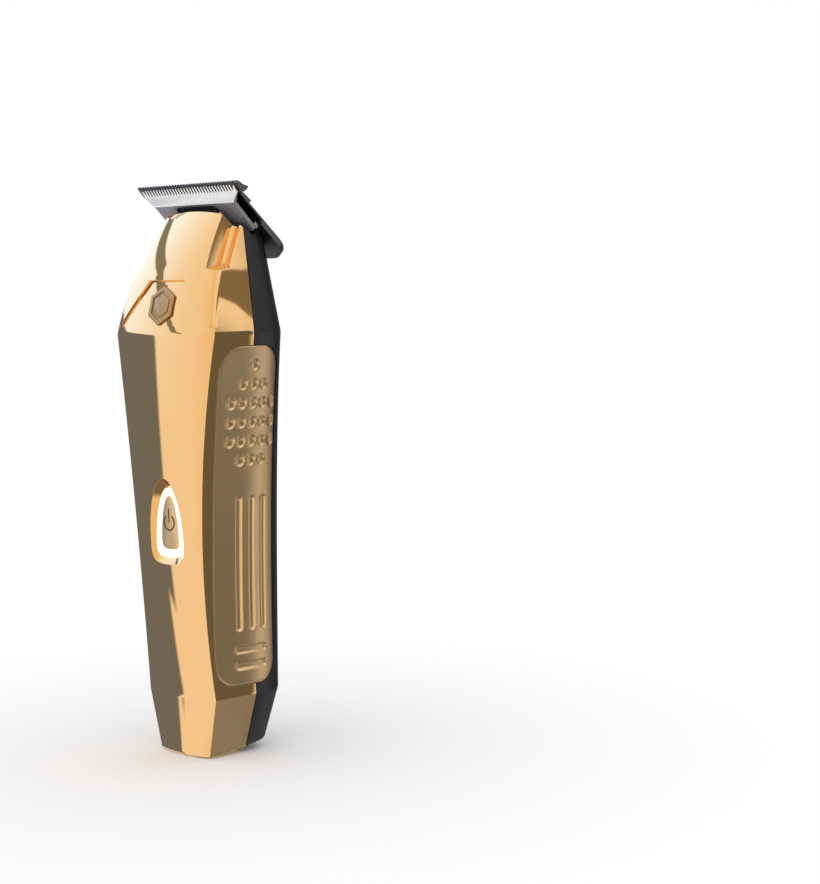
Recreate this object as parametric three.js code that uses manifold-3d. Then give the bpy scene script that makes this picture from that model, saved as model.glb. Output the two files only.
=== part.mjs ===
/*
 * Cordless T-blade hair clipper.
 *
 * Millimetres. +Z runs from the foot to the blade teeth, -Y is the front with the button, +Y is the back
 * with the inlet, and +X is one of the two gripped sides. The origin is under the middle of the foot.
 */
import * as THREE from "three";
import { mergeVertices } from "three/addons/utils/BufferGeometryUtils.js";
import Module from "manifold-3d";

const wasm = await Module();
wasm.setup();

// ---------------------------------------------------------------- driving dimensions

const LENGTH = 140; // foot to tooth tips
const LOWER_CREASE = 15; // height at which the tapered foot ends
const SHOULDER = 103.5; // height of the widest section
const WALL = 2;
const GAP = 0.3; // clearance between neighbouring pieces
const FOOT_SLOPE = 0.12; // the foot's face rises this much per millimetre towards the back
const FRONT_Y = -11.6; // front edge of the foot

const HOOD = { rise: 0.7, bottom: 105.3, chestTop: 116.4, chestTopHalf: 6.3, chestBottomHalf: 15.6 };
const POCKET = { floor: 119.8, frontX: 11.9, frontXTop: 9.8, backY: -3.4, backYTop: 5.2, top: 136 };
const POCKET_LINER = 1.4;
const GRIP = { front: -10.5, back: 7.2, bottom: 17.8, top: 100.3, corner: 5.5, proud: 0.35, sunk: 0.75 };
const DIMPLE = { rows: [1, 3, 5, 5, 5, 3], radius: 1.45, top: 95.8, pitchZ: 4.6, pitchY: 3, y: -0.6 };
const GRIP_FLOOR = 0.25; // depth of the grip's hollows below the housing's own surface

const BUTTON = { z: 57.8, face: -13.3, travel: 0.6 };
const BUTTON_SIZE = { width: 6.4, height: 13.4 };
const RING_SIZE = { width: 9.7, height: 17 };
const DISH_SIZE = { width: 13.2, height: 21.7 };
const BUTTON_FRAME = { margin: 2, front: -13.2, back: -11.2 };
const RING_FLANGE = { margin: 2.4, front: -10.9, back: -10.3 };
const BUTTON_FLANGE = { margin: 1.8, front: -10, back: -9.5 };

const BLADE_TILT = THREE.MathUtils.degToRad(135); // from +Y through +Z to the way up the blade's slope
const TIP_EDGE = 0.55; // thickness ground off the outer face at the tooth tips
const TIP = new THREE.Vector3(0, -3.35, LENGTH + TIP_EDGE * Math.SQRT1_2);
const FIXED = { half: 18.6, neck: 15.1, foot: 16.1, length: 25.75, thickness: 1.5, step: 8.4, proud: 0.8 };
const MOVING = { half: 17, back: 14.5, length: 14.5, near: 3, far: 3.9 };
const BLADE_SEAT = { half: 15.5, front: 6.4, back: 14, bottom: 117.5, top: 134 };
const SHELL_CUT = 4.4; // how far the front shell's top edge stays from the fixed blade's outer face
const SEAT_START = 15.2; // where the rear shell's blade seat begins, down the slope from the tips
const TOOTH = { pitch: 1.04, fixedCount: 33, movingCount: 31, fixedDepth: 1.9, movingDepth: 1.8 };
const TOOTH_HALF = { root: 0.36, tip: 0.15 };

const STROKE = 1.25; // crank throw, and so the blade's travel each way
const DRIVE_Y = 2; // the motor axis is this far behind the seam
const MOTOR_SCREW_X = 7;
const TERMINAL_X = 7;
const MOTOR = { bottom: 76, top: 106, width: 20.4, depth: 15.1 };
const CELL = { bottom: 17.2, length: 49, radius: 7, y: 3 };
const BOARD = { front: -7.4, thickness: 1.2, half: 8.5, bottom: 22, top: 70 };
const LEAD = { radius: 0.5, y: -5.3 };
const INLET_Z = 9.7;

const HOUSING_SCREWS = [
  { name: "upper_left", x: -9.4, z: 113.8 },
  { name: "upper_right", x: 9.4, z: 113.8 },
  { name: "lower_left", x: -8.5, z: 12.7 },
  { name: "lower_right", x: 8.5, z: 12.7 },
];
const SCREW = { head: 1.5, headHeight: 1.2, shank: 0.9, length: 9, bore: 1.2, sunk: 2.2 };
const BOSS_RADIUS = 2.8;
const BLADE_SCREW = { x: 5.5, slope: 18.9, head: 3.2 };
const CHEST_BADGE = { z: 110.2, across: 8.4 };
const REAR_BADGE = { z: 99.6, across: 8.4, floor: 11.8, face: 12.6 };
const LIGHT_PIPE = { z: 108.5, radius: 0.65 };
const INLET_POCKET = { width: 10.9, height: 7, floor: 10.2 };
const GROOVE_DEPTH = 0.5;

// ---------------------------------------------------------------- materials

/** A plain material: colour, roughness and metalness. */
function material(color, roughness, metalness) {
  return new THREE.MeshStandardMaterial({ color, roughness, metalness });
}

const MATERIAL = {
  goldChrome: material(0xd9a765, 0.08, 1),
  tanSatin: material(0xa88a62, 0.45, 0.6),
  blackSatin: material(0x1b1b1c, 0.4, 0),
  blackPlastic: material(0x101012, 0.6, 0),
  whiteClear: material(0xf7f7f2, 0.3, 0),
  darkSteel: material(0x55565a, 0.35, 0.9),
  brightSteel: material(0xd4d4d6, 0.22, 1),
  zincSteel: material(0xb8babd, 0.3, 1),
  springSteel: material(0x8f9194, 0.3, 1),
  brass: material(0xb99a4b, 0.35, 1),
  bronze: material(0x9a6b3c, 0.5, 0.9),
  copper: material(0xb06a3b, 0.35, 1),
  nickel: material(0xa9a79c, 0.35, 1),
  boardGreen: material(0x14502d, 0.5, 0),
  cellBlue: material(0x2a5c9a, 0.5, 0),
  rubber: material(0x26262a, 0.9, 0),
  ferrite: material(0x3a3a3d, 0.7, 0.1),
  redWire: material(0xb3262a, 0.5, 0),
  blackWire: material(0x1c1c1e, 0.5, 0),
};

// ---------------------------------------------------------------- geometry helpers

/** Turns a closed geometry into a solid that can be cut and joined. */
function solid(geometry) {
  const bare = geometry.clone();
  bare.deleteAttribute("normal");
  bare.deleteAttribute("uv");
  const merged = mergeVertices(bare, 1e-4);
  const vertProperties = merged.attributes.position.array;
  const triVerts = merged.index.array;
  return new wasm.Manifold(new wasm.Mesh({ numProp: 3, vertProperties, triVerts }));
}

/** Turns a solid back into a three.js geometry. */
function geometryOf(body) {
  const mesh = body.getMesh();
  const geometry = new THREE.BufferGeometry();
  geometry.setAttribute("position", new THREE.BufferAttribute(new Float32Array(mesh.vertProperties), 3));
  geometry.setIndex(new THREE.BufferAttribute(new Uint32Array(mesh.triVerts), 1));
  geometry.computeVertexNormals();
  return geometry;
}

/** The mirror image of an indexed geometry across the plane between left and right. */
function mirrored(geometry) {
  const image = geometry.clone().scale(-1, 1, 1);
  image.setIndex([...image.index.array].reverse());
  return image;
}

/** A box given by its two corners. */
function boxBetween(x0, x1, y0, y1, z0, z1) {
  const box = new THREE.BoxGeometry(x1 - x0, y1 - y0, z1 - z0);
  return box.translate((x0 + x1) / 2, (y0 + y1) / 2, (z0 + z1) / 2);
}

/** A round bar along Z between two heights. */
function rodZ(radius, x, y, z0, z1, sides = 16) {
  const rod = new THREE.CylinderGeometry(radius, radius, z1 - z0, sides).rotateX(Math.PI / 2);
  return rod.translate(x, y, (z0 + z1) / 2);
}

/** A round bar along Y between two depths. */
function rodY(radius, x, z, y0, y1, sides = 16) {
  return new THREE.CylinderGeometry(radius, radius, y1 - y0, sides).translate(x, (y0 + y1) / 2, z);
}

/** Extrudes a shape drawn in X and Z, from y0 to y1. */
function slabY(shape, y0, y1, curveSegments = 6) {
  const slab = new THREE.ExtrudeGeometry(shape, { depth: y1 - y0, bevelEnabled: false, curveSegments });
  return slab.rotateX(Math.PI / 2).translate(0, y1, 0);
}

/** Extrudes a shape drawn in Y and Z, from x0 to x1. */
function slabX(shape, x0, x1, curveSegments = 6) {
  const slab = new THREE.ExtrudeGeometry(shape, { depth: x1 - x0, bevelEnabled: false, curveSegments });
  return slab.rotateX(Math.PI / 2).rotateZ(Math.PI / 2).translate(x0, 0, 0);
}

/** Extrudes a shape drawn in X and Y, from z0 to z1. */
function slabZ(shape, z0, z1, curveSegments = 6) {
  const slab = new THREE.ExtrudeGeometry(shape, { depth: z1 - z0, bevelEnabled: false, curveSegments });
  return slab.translate(0, 0, z0);
}

/** A closed outline through the given points. */
function outline(points) {
  return new THREE.Shape(points.map(([a, b]) => new THREE.Vector2(a, b)));
}

/** A rectangle with round corners, centred on (a, b). */
function roundedRectangle(a, b, width, height, radius) {
  const shape = new THREE.Shape();
  const [left, right, low, high] = [a - width / 2, a + width / 2, b - height / 2, b + height / 2];
  shape.moveTo(left + radius, low);
  shape.absarc(right - radius, low + radius, radius, -Math.PI / 2, 0);
  shape.absarc(right - radius, high - radius, radius, 0, Math.PI / 2);
  shape.absarc(left + radius, high - radius, radius, Math.PI / 2, Math.PI);
  shape.absarc(left + radius, low + radius, radius, Math.PI, Math.PI * 1.5);
  return shape;
}

/** A regular hexagon with a corner at the top, centred on (a, b). */
function hexagon(a, b, across) {
  const radius = across / Math.sqrt(3);
  const corners = [...Array(6).keys()].map((k) => Math.PI / 2 + (k * Math.PI) / 3);
  return outline(corners.map((angle) => [a + radius * Math.cos(angle), b + radius * Math.sin(angle)]));
}

/** The button's egg outline: a narrow round top and a wide, flatter bottom, centred on (0, z). */
function egg(z, width, height) {
  const half = width / 2;
  const top = z + height / 2;
  const low = z - height / 2;
  const shape = new THREE.Shape();
  const wide = low + height * 0.25;
  const shoulder = low + height * 0.69;
  shape.moveTo(0, low);
  shape.bezierCurveTo(half * 0.92, low, half * 1.04, low + height * 0.04, half, wide);
  shape.bezierCurveTo(half * 0.96, shoulder, half * 0.48, top, 0, top);
  shape.bezierCurveTo(-half * 0.48, top, -half * 0.96, shoulder, -half, wide);
  shape.bezierCurveTo(-half * 1.04, low + height * 0.04, -half * 0.92, low, 0, low);
  return shape;
}

/** Turns a profile of [radius, height] pairs round the Y axis. */
function turned(profilePoints, sides) {
  return new THREE.LatheGeometry(profilePoints.map(([r, y]) => new THREE.Vector2(r, y)), sides);
}

/** Joins equally long closed loops of points, lowest first, into one closed body with flat ends. */
function loft(loops) {
  const count = loops[0].length;
  const positions = loops.flat().flatMap((point) => [point.x, point.y, point.z]);
  const indices = [];
  for (let level = 0; level + 1 < loops.length; level += 1) {
    for (let k = 0; k < count; k += 1) {
      const next = (k + 1) % count;
      const [a, b] = [level * count + k, level * count + next];
      const [c, d] = [a + count, b + count];
      indices.push(a, b, d, a, d, c);
    }
  }
  const flat = loops[0].map((point) => new THREE.Vector2(point.x, point.y));
  const topStart = (loops.length - 1) * count;
  for (const [a, b, c] of THREE.ShapeUtils.triangulateShape(flat, [])) {
    indices.push(a, c, b);
    indices.push(topStart + a, topStart + b, topStart + c);
  }
  const geometry = new THREE.BufferGeometry();
  geometry.setAttribute("position", new THREE.Float32BufferAttribute(positions, 3));
  geometry.setIndex(indices);
  geometry.computeVertexNormals();
  return geometry;
}

/** A round wire along a smooth curve through the given points. */
function wire(points, radius, sides = 6, steps = 12) {
  const path = new THREE.CatmullRomCurve3(points.map((point) => new THREE.Vector3(...point)));
  const corners = [...Array(sides).keys()].map((k) => (k * 2 * Math.PI) / sides);
  const section = outline(corners.map((angle) => [radius * Math.cos(angle), radius * Math.sin(angle)]));
  return new THREE.ExtrudeGeometry(section, { steps, extrudePath: path, bevelEnabled: false });
}

// ---------------------------------------------------------------- housing form

/** Half widths and depths of the housing at height z: seam, front ridge, front bulge and back. */
function profile(z) {
  if (z < LOWER_CREASE) {
    const rise = Math.max(z, -3) / LOWER_CREASE;
    return {
      seam: 10.9 + 3.4 * rise,
      ridge: 8.9 + 3.4 * rise,
      ridgeY: -10.6 - 0.3 * rise,
      bulge: 1,
      back: 9.3 + 3.1 * rise,
    };
  }
  if (z <= SHOULDER) {
    const rise = (z - LOWER_CREASE) / (SHOULDER - LOWER_CREASE);
    return {
      seam: 14.3 + 5.7 * rise ** 2.6,
      ridge: 12.3 - 5.4 * rise + 11.3 * rise ** 2,
      ridgeY: -10.9 - 8.5 * rise + 6.9 * rise ** 2,
      bulge: 1 + 1.1 * rise ** 3,
      back: 12.4 + 3.6 * rise * (1 - rise),
    };
  }
  const rise = z - SHOULDER;
  return {
    seam: 20 - 0.243 * rise,
    ridge: 18.2 - 0.19 * rise,
    ridgeY: -12.5 + 0.17 * rise + 0.0088 * rise ** 2,
    bulge: 2.1,
    back: 12.4 - 0.034 * rise,
  };
}

/** Moves a closed loop outwards by a distance, or inwards if it is negative. */
function offsetLoop(points, distance) {
  const count = points.length;
  return points.map((point, k) => {
    const before = points[(k + count - 1) % count];
    const after = points[(k + 1) % count];
    const inNormal = new THREE.Vector2(point.y - before.y, before.x - point.x).normalize();
    const outNormal = new THREE.Vector2(after.y - point.y, point.x - after.x).normalize();
    const miter = inNormal.add(outNormal).normalize();
    const stretch = distance / Math.max(0.5, miter.dot(outNormal));
    return new THREE.Vector3(point.x + miter.x * stretch, point.y + miter.y * stretch, point.z);
  });
}

/** The housing's section at height z, moved outwards by offset, with the front face moved by frontRise. */
function section(z, offset = 0, frontRise = 0) {
  const FRONT_STEPS = 6;
  const BACK_STEPS = 10;
  const ROUNDNESS = 2 / 3.5; // exponent of the squarish curve round the back
  const { seam, ridge, ridgeY, bulge, back } = profile(z);
  const points = [];
  for (let k = 0; k <= FRONT_STEPS; k += 1) {
    const across = (2 * k) / FRONT_STEPS - 1;
    const y = ridgeY - frontRise - bulge * (1 - across ** 2);
    points.push(new THREE.Vector3(ridge * across, y, z));
  }
  for (let k = 0; k <= BACK_STEPS; k += 1) {
    const angle = (Math.PI * k) / BACK_STEPS;
    const x = seam * Math.sign(Math.cos(angle)) * Math.abs(Math.cos(angle)) ** ROUNDNESS;
    points.push(new THREE.Vector3(x, back * Math.sin(angle) ** ROUNDNESS, z));
  }
  return offsetLoop(points, offset);
}

/** The housing's heights from low to high, with a section at each crease. */
function heights(low, high) {
  const BODY_STEPS = 6;
  const HEAD_STEPS = 4;
  const body = [...Array(BODY_STEPS).keys()].map(
    (k) => LOWER_CREASE + (k * (SHOULDER - LOWER_CREASE)) / BODY_STEPS,
  );
  const head = [...Array(HEAD_STEPS).keys()].map((k) => SHOULDER + (k * (LENGTH - SHOULDER)) / HEAD_STEPS);
  const inside = [...body, ...head].filter((z) => z > low + 0.5 && z < high - 0.5);
  return [low, ...inside, high];
}

/** The solid inside the housing's outer face, moved outwards by offset. */
function bodySolid(offset, low = -2, high = LENGTH - 2) {
  return solid(loft(heights(low, high).map((z) => section(z, offset))));
}

/** Where the seam lies, front to back, at four heights. */
const SEAM_LINE = [
  [-0.4, -10],
  [-0.4, 0],
  [0.8, LOWER_CREASE],
  [-1.2, SHOULDER],
  [4.1, LENGTH + 10],
];

/** Everything on the front (side = -1) or back (side = 1) of the seam. */
function seamHalf(side) {
  const FAR = 60;
  const line = SEAM_LINE.map(([y, z]) => [y + (side * GAP) / 2, z]);
  const last = line[line.length - 1];
  const loop = [...line, [side * FAR, last[1]], [side * FAR, line[0][1]]];
  return solid(slabX(outline(side > 0 ? loop.reverse() : loop), -FAR, FAR));
}

/** The wedge below the sloping face of the foot. */
function belowFoot() {
  const FAR = 60;
  const heightAt = (y) => FOOT_SLOPE * (y - FRONT_Y);
  const corners = [
    [-FAR, -FAR],
    [FAR, -FAR],
    [FAR, heightAt(FAR)],
    [-FAR, heightAt(-FAR)],
  ];
  return solid(slabX(outline(corners), -FAR, FAR));
}

/** A box in the blade's own frame, given between distances across, down the slope and inwards. */
function bladeBox(x0, x1, slope0, slope1, in0, in1) {
  return boxBetween(x0, x1, -slope1, -slope0, in0, in1).rotateX(BLADE_TILT).translate(TIP.x, TIP.y, TIP.z);
}

/** One of the two notches at the top front corners of the head, grown by extra on its inner sides. */
function cornerPocket(side, extra) {
  const FAR = 30;
  const level = (z, x, y) => {
    const near = side * (x - extra);
    const far = side * FAR;
    const [left, right] = side > 0 ? [near, far] : [far, near];
    return [
      new THREE.Vector3(left, -FAR, z),
      new THREE.Vector3(right, -FAR, z),
      new THREE.Vector3(right, y + extra, z),
      new THREE.Vector3(left, y + extra, z),
    ];
  };
  const bottom = level(POCKET.floor - extra, POCKET.frontX, POCKET.backY);
  const top = level(POCKET.top, POCKET.frontXTop, POCKET.backYTop);
  return solid(loft([bottom, top]));
}

/** The raised hood on the front of the head, which frames the chest plate. */
function hood() {
  const levels = heights(HOOD.bottom, LENGTH - 2);
  const raised = solid(loft(levels.map((z) => section(z, 0, HOOD.rise))));
  const slope = (HOOD.chestBottomHalf - HOOD.chestTopHalf) / (HOOD.chestTop - HOOD.bottom);
  const lowHalf = HOOD.chestBottomHalf + slope * 5;
  const chest = outline([
    [-lowHalf, HOOD.bottom - 5],
    [lowHalf, HOOD.bottom - 5],
    [HOOD.chestTopHalf, HOOD.chestTop],
    [-HOOD.chestTopHalf, HOOD.chestTop],
  ]);
  return raised.subtract(solid(slabY(chest, -40, 0)));
}

const outerBody = bodySolid(0).subtract(belowFoot());
const cavity = bodySolid(-WALL, WALL + 2.5, LENGTH - 2)
  .subtract(cornerPocket(-1, POCKET_LINER))
  .subtract(cornerPocket(1, POCKET_LINER));

// ---------------------------------------------------------------- side grips

/** A grip's outline seen from the side, grown by extra. */
function gripOutline(extra) {
  const width = GRIP.back - GRIP.front + 2 * extra;
  const height = GRIP.top - GRIP.bottom + 2 * extra;
  const y = (GRIP.back + GRIP.front) / 2;
  const z = (GRIP.top + GRIP.bottom) / 2;
  return roundedRectangle(y, z, width, height, GRIP.corner + extra);
}

/** The hollows in a grip, seen from the side: dimples, long grooves and short bars. */
function gripHollows() {
  const hollows = [];
  DIMPLE.rows.forEach((count, row) => {
    for (let k = 0; k < count; k += 1) {
      const y = DIMPLE.y + (k - (count - 1) / 2) * DIMPLE.pitchY;
      const z = DIMPLE.top - row * DIMPLE.pitchZ;
      hollows.push(new THREE.Shape().absarc(y, z, DIMPLE.radius, 0, 2 * Math.PI));
    }
  });
  for (const column of [-1, 0, 1]) {
    hollows.push(roundedRectangle(-0.2 + column * 3.55, 47.5, 2, 33, 0.95));
  }
  for (const z of [26.4, 22.5]) {
    hollows.push(roundedRectangle(-0.5, z, 9.4, 2, 0.95));
  }
  return hollows;
}

/** The right side grip: a pad let into the housing over the seam. */
function sideGrip() {
  const blank = solid(slabX(gripOutline(0), 4, 30));
  const pad = blank.intersect(bodySolid(GRIP.proud)).subtract(bodySolid(-GRIP.sunk));
  const hollows = gripHollows().map((shape) => solid(slabX(shape, 4, 30, 4)));
  const cut = hollows.reduce((all, hollow) => all.add(hollow)).subtract(bodySolid(-GRIP_FLOOR));
  return geometryOf(pad.subtract(cut));
}

/** The two recesses that the grips lie in. */
function gripRecesses() {
  const right = solid(slabX(gripOutline(GAP), 4, 30));
  const left = solid(slabX(gripOutline(GAP), -30, -4));
  return right.add(left).subtract(bodySolid(-GRIP.sunk - GAP));
}

// ---------------------------------------------------------------- shells

/** An egg-shaped slab round the button, larger than the given size by a margin, between two depths. */
function eggSlab(size, margin, front, back) {
  return solid(slabY(egg(BUTTON.z, size.width + margin, size.height + margin), front, back));
}

/** The dish round the button: it narrows from the shell's face to the light ring. */
function buttonDish() {
  const level = (size, grow, out) => {
    const points = egg(BUTTON.z, size.width + grow, size.height + grow).getPoints(6).slice(0, -1);
    return points.map((point) => new THREE.Vector3(point.x, point.y, out));
  };
  const RIM_DEPTH = 14.6;
  const throat = level(RING_SIZE, 2 * GAP, -BUTTON.face - 0.1);
  const rim = level(DISH_SIZE, 0, RIM_DEPTH);
  const beyond = level(DISH_SIZE, 3, RIM_DEPTH + 1.9);
  return solid(loft([throat, rim, beyond]).rotateX(Math.PI / 2));
}


/** A hexagonal slab square to the chest plate, between two depths from the bottom of the badge recess. */
function chestBadge(extra, low, high) {
  const LEAN = THREE.MathUtils.degToRad(16);
  const CENTRE_Y = -12.8;
  const shape = hexagon(0, 0, CHEST_BADGE.across + 2 * extra);
  return slabY(shape, low, high).rotateX(-LEAN).translate(0, CENTRE_Y, CHEST_BADGE.z);
}

/** A boss for a housing screw, between two depths and inside the housing's walls. */
function screwBoss(x, z, front, back) {
  return solid(rodY(BOSS_RADIUS, x, z, front, back)).intersect(bodySolid(-WALL / 2));
}

/** The gold front half of the housing. */
function frontShell() {
  let shell = outerBody.add(hood()).subtract(cavity);
  shell = shell.add(eggSlab(DISH_SIZE, BUTTON_FRAME.margin, BUTTON_FRAME.front, BUTTON_FRAME.back));
  for (const { x, z } of HOUSING_SCREWS) {
    shell = shell.add(screwBoss(x, z, -9, 3));
  }
  shell = shell.intersect(seamHalf(-1));
  shell = shell.subtract(solid(bladeBox(-40, 40, -30, 60, -30, SHELL_CUT)));
  shell = shell.subtract(cornerPocket(-1, 0)).subtract(cornerPocket(1, 0)).subtract(gripRecesses());
  for (const { x, z } of HOUSING_SCREWS) {
    shell = shell.subtract(solid(rodY(SCREW.bore, x, z, -6.5, 10, 10)));
  }
  shell = shell.subtract(buttonDish()).subtract(eggSlab(RING_SIZE, 2 * GAP, -16, -6));
  shell = shell.subtract(solid(chestBadge(0.15, -4, 0)));
  return geometryOf(shell);
}

/** The sloping block at the top of the rear shell that the fixed blade is screwed to. */
function bladeSeat() {
  const { half, front, back, bottom, top } = BLADE_SEAT;
  return solid(boxBetween(-half, half, front, back, bottom, top)).intersect(bodySolid(-WALL / 2));
}

/** The slanting grooves on the back: five on each side, rising towards the middle. */
function backGrooves() {
  const COUNT = 5;
  const shapes = [];
  for (const side of [-1, 1]) {
    for (let k = 0; k < COUNT; k += 1) {
      const turn = side * (-Math.PI / 4);
      const middle = new THREE.Vector2(side * (8.2 - 0.15 * k), 88 - 5.2 * k);
      const placed = (point) => point.rotateAround(new THREE.Vector2(), turn).add(middle);
      const points = roundedRectangle(0, 0, 9.2, 1.7, 0.8).getPoints(2).slice(0, -1);
      shapes.push(new THREE.Shape(points.map(placed)));
    }
  }
  return shapes;
}

/** The black rear half of the housing. */
function rearShell() {
  let shell = outerBody.subtract(cavity).add(bladeSeat());
  for (const { x, z } of HOUSING_SCREWS) {
    shell = shell.add(screwBoss(x, z, -3, 10));
  }
  shell = shell.intersect(seamHalf(1));
  shell = shell.subtract(solid(bladeBox(-40, 40, -30, SEAT_START, -30, SHELL_CUT)));
  shell = shell.subtract(solid(bladeBox(-40, 40, SEAT_START - 1, 60, -30, FIXED.thickness + GAP)));
  shell = shell.subtract(cornerPocket(-1, 0)).subtract(cornerPocket(1, 0)).subtract(gripRecesses());
  for (const { x, z } of HOUSING_SCREWS) {
    shell = shell.subtract(solid(rodY(SCREW.bore, x, z, -6, 12, 10)));
    shell = shell.subtract(solid(rodY(SCREW.head + 0.4, x, z, screwSeat(x, z), 20, 12)));
  }
  for (const side of [-1, 1]) {
    shell = shell.subtract(solid(bladeScrewHole(side)));
  }
  const grooveFloor = bodySolid(-GROOVE_DEPTH);
  for (const shape of backGrooves()) {
    shell = shell.subtract(solid(slabY(shape, 6, 20)).subtract(grooveFloor));
  }
  const { width, height, floor } = INLET_POCKET;
  shell = shell.subtract(solid(slabY(roundedRectangle(0, INLET_Z, width, height, 0.8), floor, 20)));
  shell = shell.subtract(solid(slabY(inletOutline(GAP), 4, 20)));
  shell = shell.subtract(solid(rodY(LIGHT_PIPE.radius + 0.2, 0, LIGHT_PIPE.z, 5, 20, 8)));
  const badgeRecess = hexagon(0, REAR_BADGE.z, REAR_BADGE.across + GAP);
  return geometryOf(shell.subtract(solid(slabY(badgeRecess, REAR_BADGE.floor - 0.1, 20))));
}

/** Depth at which a housing screw's head sits, below the back's surface. */
function screwSeat(x, z) {
  const { seam, back } = profile(z);
  const surface = back * (1 - Math.abs(x / seam) ** 3.5) ** (1 / 3.5);
  return surface - SCREW.sunk;
}

/** The hole for a blade screw, square to the blade's slope. */
function bladeScrewHole(side) {
  const hole = new THREE.CylinderGeometry(1.4, 1.4, 8, 10).rotateX(Math.PI / 2);
  hole.translate(side * BLADE_SCREW.x, -BLADE_SCREW.slope, 4.5);
  return hole.rotateX(BLADE_TILT).translate(TIP.x, TIP.y, TIP.z);
}

// ---------------------------------------------------------------- button

/** The light ring: a translucent egg-shaped ring with a flange behind the shell's frame. */
function lightRing() {
  const { margin, front, back } = RING_FLANGE;
  const ring = eggSlab(RING_SIZE, 0, BUTTON.face - 0.05, back);
  const flange = eggSlab(RING_SIZE, margin, front, back);
  return geometryOf(ring.add(flange).subtract(eggSlab(BUTTON_SIZE, 2 * GAP, -20, -5)));
}

/** The power button: its cap, the flange that keeps it in, and the foot that works the switch. */
function powerButton() {
  const { margin, front, back } = BUTTON_FLANGE;
  const cap = eggSlab(BUTTON_SIZE, 0, BUTTON.face, back - 0.1);
  return geometryOf(cap.add(eggSlab(BUTTON_SIZE, margin, front, back)));
}

// ---------------------------------------------------------------- blades, in the blade's own frame

/** A comb edge from right to left: teeth of the given pitch and depth along the line y = top. */
function toothRow(count, top, depth) {
  const points = [];
  const start = ((count - 1) / 2) * TOOTH.pitch;
  for (let k = 0; k < count; k += 1) {
    const x = start - k * TOOTH.pitch;
    const { root, tip } = TOOTH_HALF;
    points.push([x + root, top - depth], [x + tip, top], [x - tip, top], [x - root, top - depth]);
  }
  return points;
}

/** Outline of the fixed blade: T arms, neck, and a lower plate with round corners. */
function fixedOutline() {
  const { half, neck, foot, length } = FIXED;
  const CORNER = 5;
  const teeth = toothRow(TOOTH.fixedCount, 0, TOOTH.fixedDepth);
  const rightSide = [
    [neck, -4.9],
    [half - 2, -4],
    [half - 0.4, -3.6],
    [half, -3],
    [half, -0.4],
    [half - 0.4, 0],
    [half - 1.2, 0],
    [half - 1.3, -TOOTH.fixedDepth],
  ];
  const shape = new THREE.Shape();
  shape.moveTo(0, -length);
  shape.absarc(foot - CORNER, -length + CORNER, CORNER, -Math.PI / 2, 0.05);
  shape.lineTo(neck, -FIXED.step - 0.6);
  [...rightSide, ...teeth].forEach(([x, y]) => shape.lineTo(x, y));
  rightSide.reverse().forEach(([x, y]) => shape.lineTo(-x, y));
  shape.lineTo(-neck, -FIXED.step - 0.6);
  shape.absarc(-foot + CORNER, -length + CORNER, CORNER, Math.PI - 0.05, Math.PI * 1.5);
  return shape;
}

/** The fixed blade: a plate whose toothed part is ground to a wedge that stands proud at its step. */
function fixedBlade() {
  const blank = solid(slabZ(fixedOutline(), -FIXED.proud - 0.1, FIXED.thickness, 4));
  const groundFace = outline([
    [3, -6],
    [3, TIP_EDGE + 0.4],
    [0, TIP_EDGE],
    [-1.6, -0.1],
    [-FIXED.step, -FIXED.proud],
    [-FIXED.step, 0],
    [-60, 0],
    [-60, -6],
  ]);
  let plate = blank.subtract(solid(sideExtrusion(groundFace, 40)));
  for (const side of [-1, 1]) {
    const hole = rodZ(1.5, side * BLADE_SCREW.x, -BLADE_SCREW.slope, -3, 5, 12);
    plate = plate.subtract(solid(hole));
  }
  return geometryOf(plate);
}

/** Extrudes a shape drawn up the slope and inwards, across both sides of the middle. */
function sideExtrusion(shape, half) {
  return slabX(shape, -half, half);
}

/** The moving blade: fine teeth, a thick ground wedge, and two legs either side of an open mouth. */
function movingBlade() {
  const { half, back, length, near, far } = MOVING;
  const CONTACT = FIXED.thickness + GAP;
  const edge = -0.7;
  const teeth = toothRow(TOOTH.movingCount, edge, TOOTH.movingDepth);
  const shape = new THREE.Shape();
  const rightSide = [
    [8.2, -length],
    [back - 0.8, -length],
    [back, -length + 0.8],
    [back, -4.4],
    [half, -2.6],
    [half, edge - 0.2],
    [half - 0.3, edge - 0.2],
  ];
  const leftSide = rightSide.map(([x, y]) => [-x, y]).reverse();
  const mouth = [
    [-8.2, -length],
    [-7.6, -7],
    [-6, -5.6],
    [6, -5.6],
    [7.6, -7],
  ];
  [...rightSide, ...teeth, ...leftSide, ...mouth.slice(1)].forEach(([x, y], k) => {
    if (k === 0) shape.moveTo(x, y);
    else shape.lineTo(x, y);
  });
  const wedge = outline([
    [0.5, CONTACT],
    [0.5, CONTACT + 0.5],
    [-2.1, CONTACT + 0.7],
    [-4.2, far],
    [-length - 1, far],
    [-length - 1, near],
    [-5.2, near],
    [-5, CONTACT],
  ]);
  const blank = solid(slabZ(shape, CONTACT, far));
  return geometryOf(blank.intersect(solid(sideExtrusion(wedge, 30))));
}

/** The black guide between the two blades, open in the middle for the drive. */
function bladeGuide() {
  const plate = outline([
    [-13.6, -14.2],
    [-8.6, -14.2],
    [-8.6, -7.4],
    [8.6, -7.4],
    [8.6, -14.2],
    [13.6, -14.2],
    [13.6, -5.6],
    [-13.6, -5.6],
  ]);
  return slabZ(plate, FIXED.thickness + 0.2, MOVING.near - 0.25);
}

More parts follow.
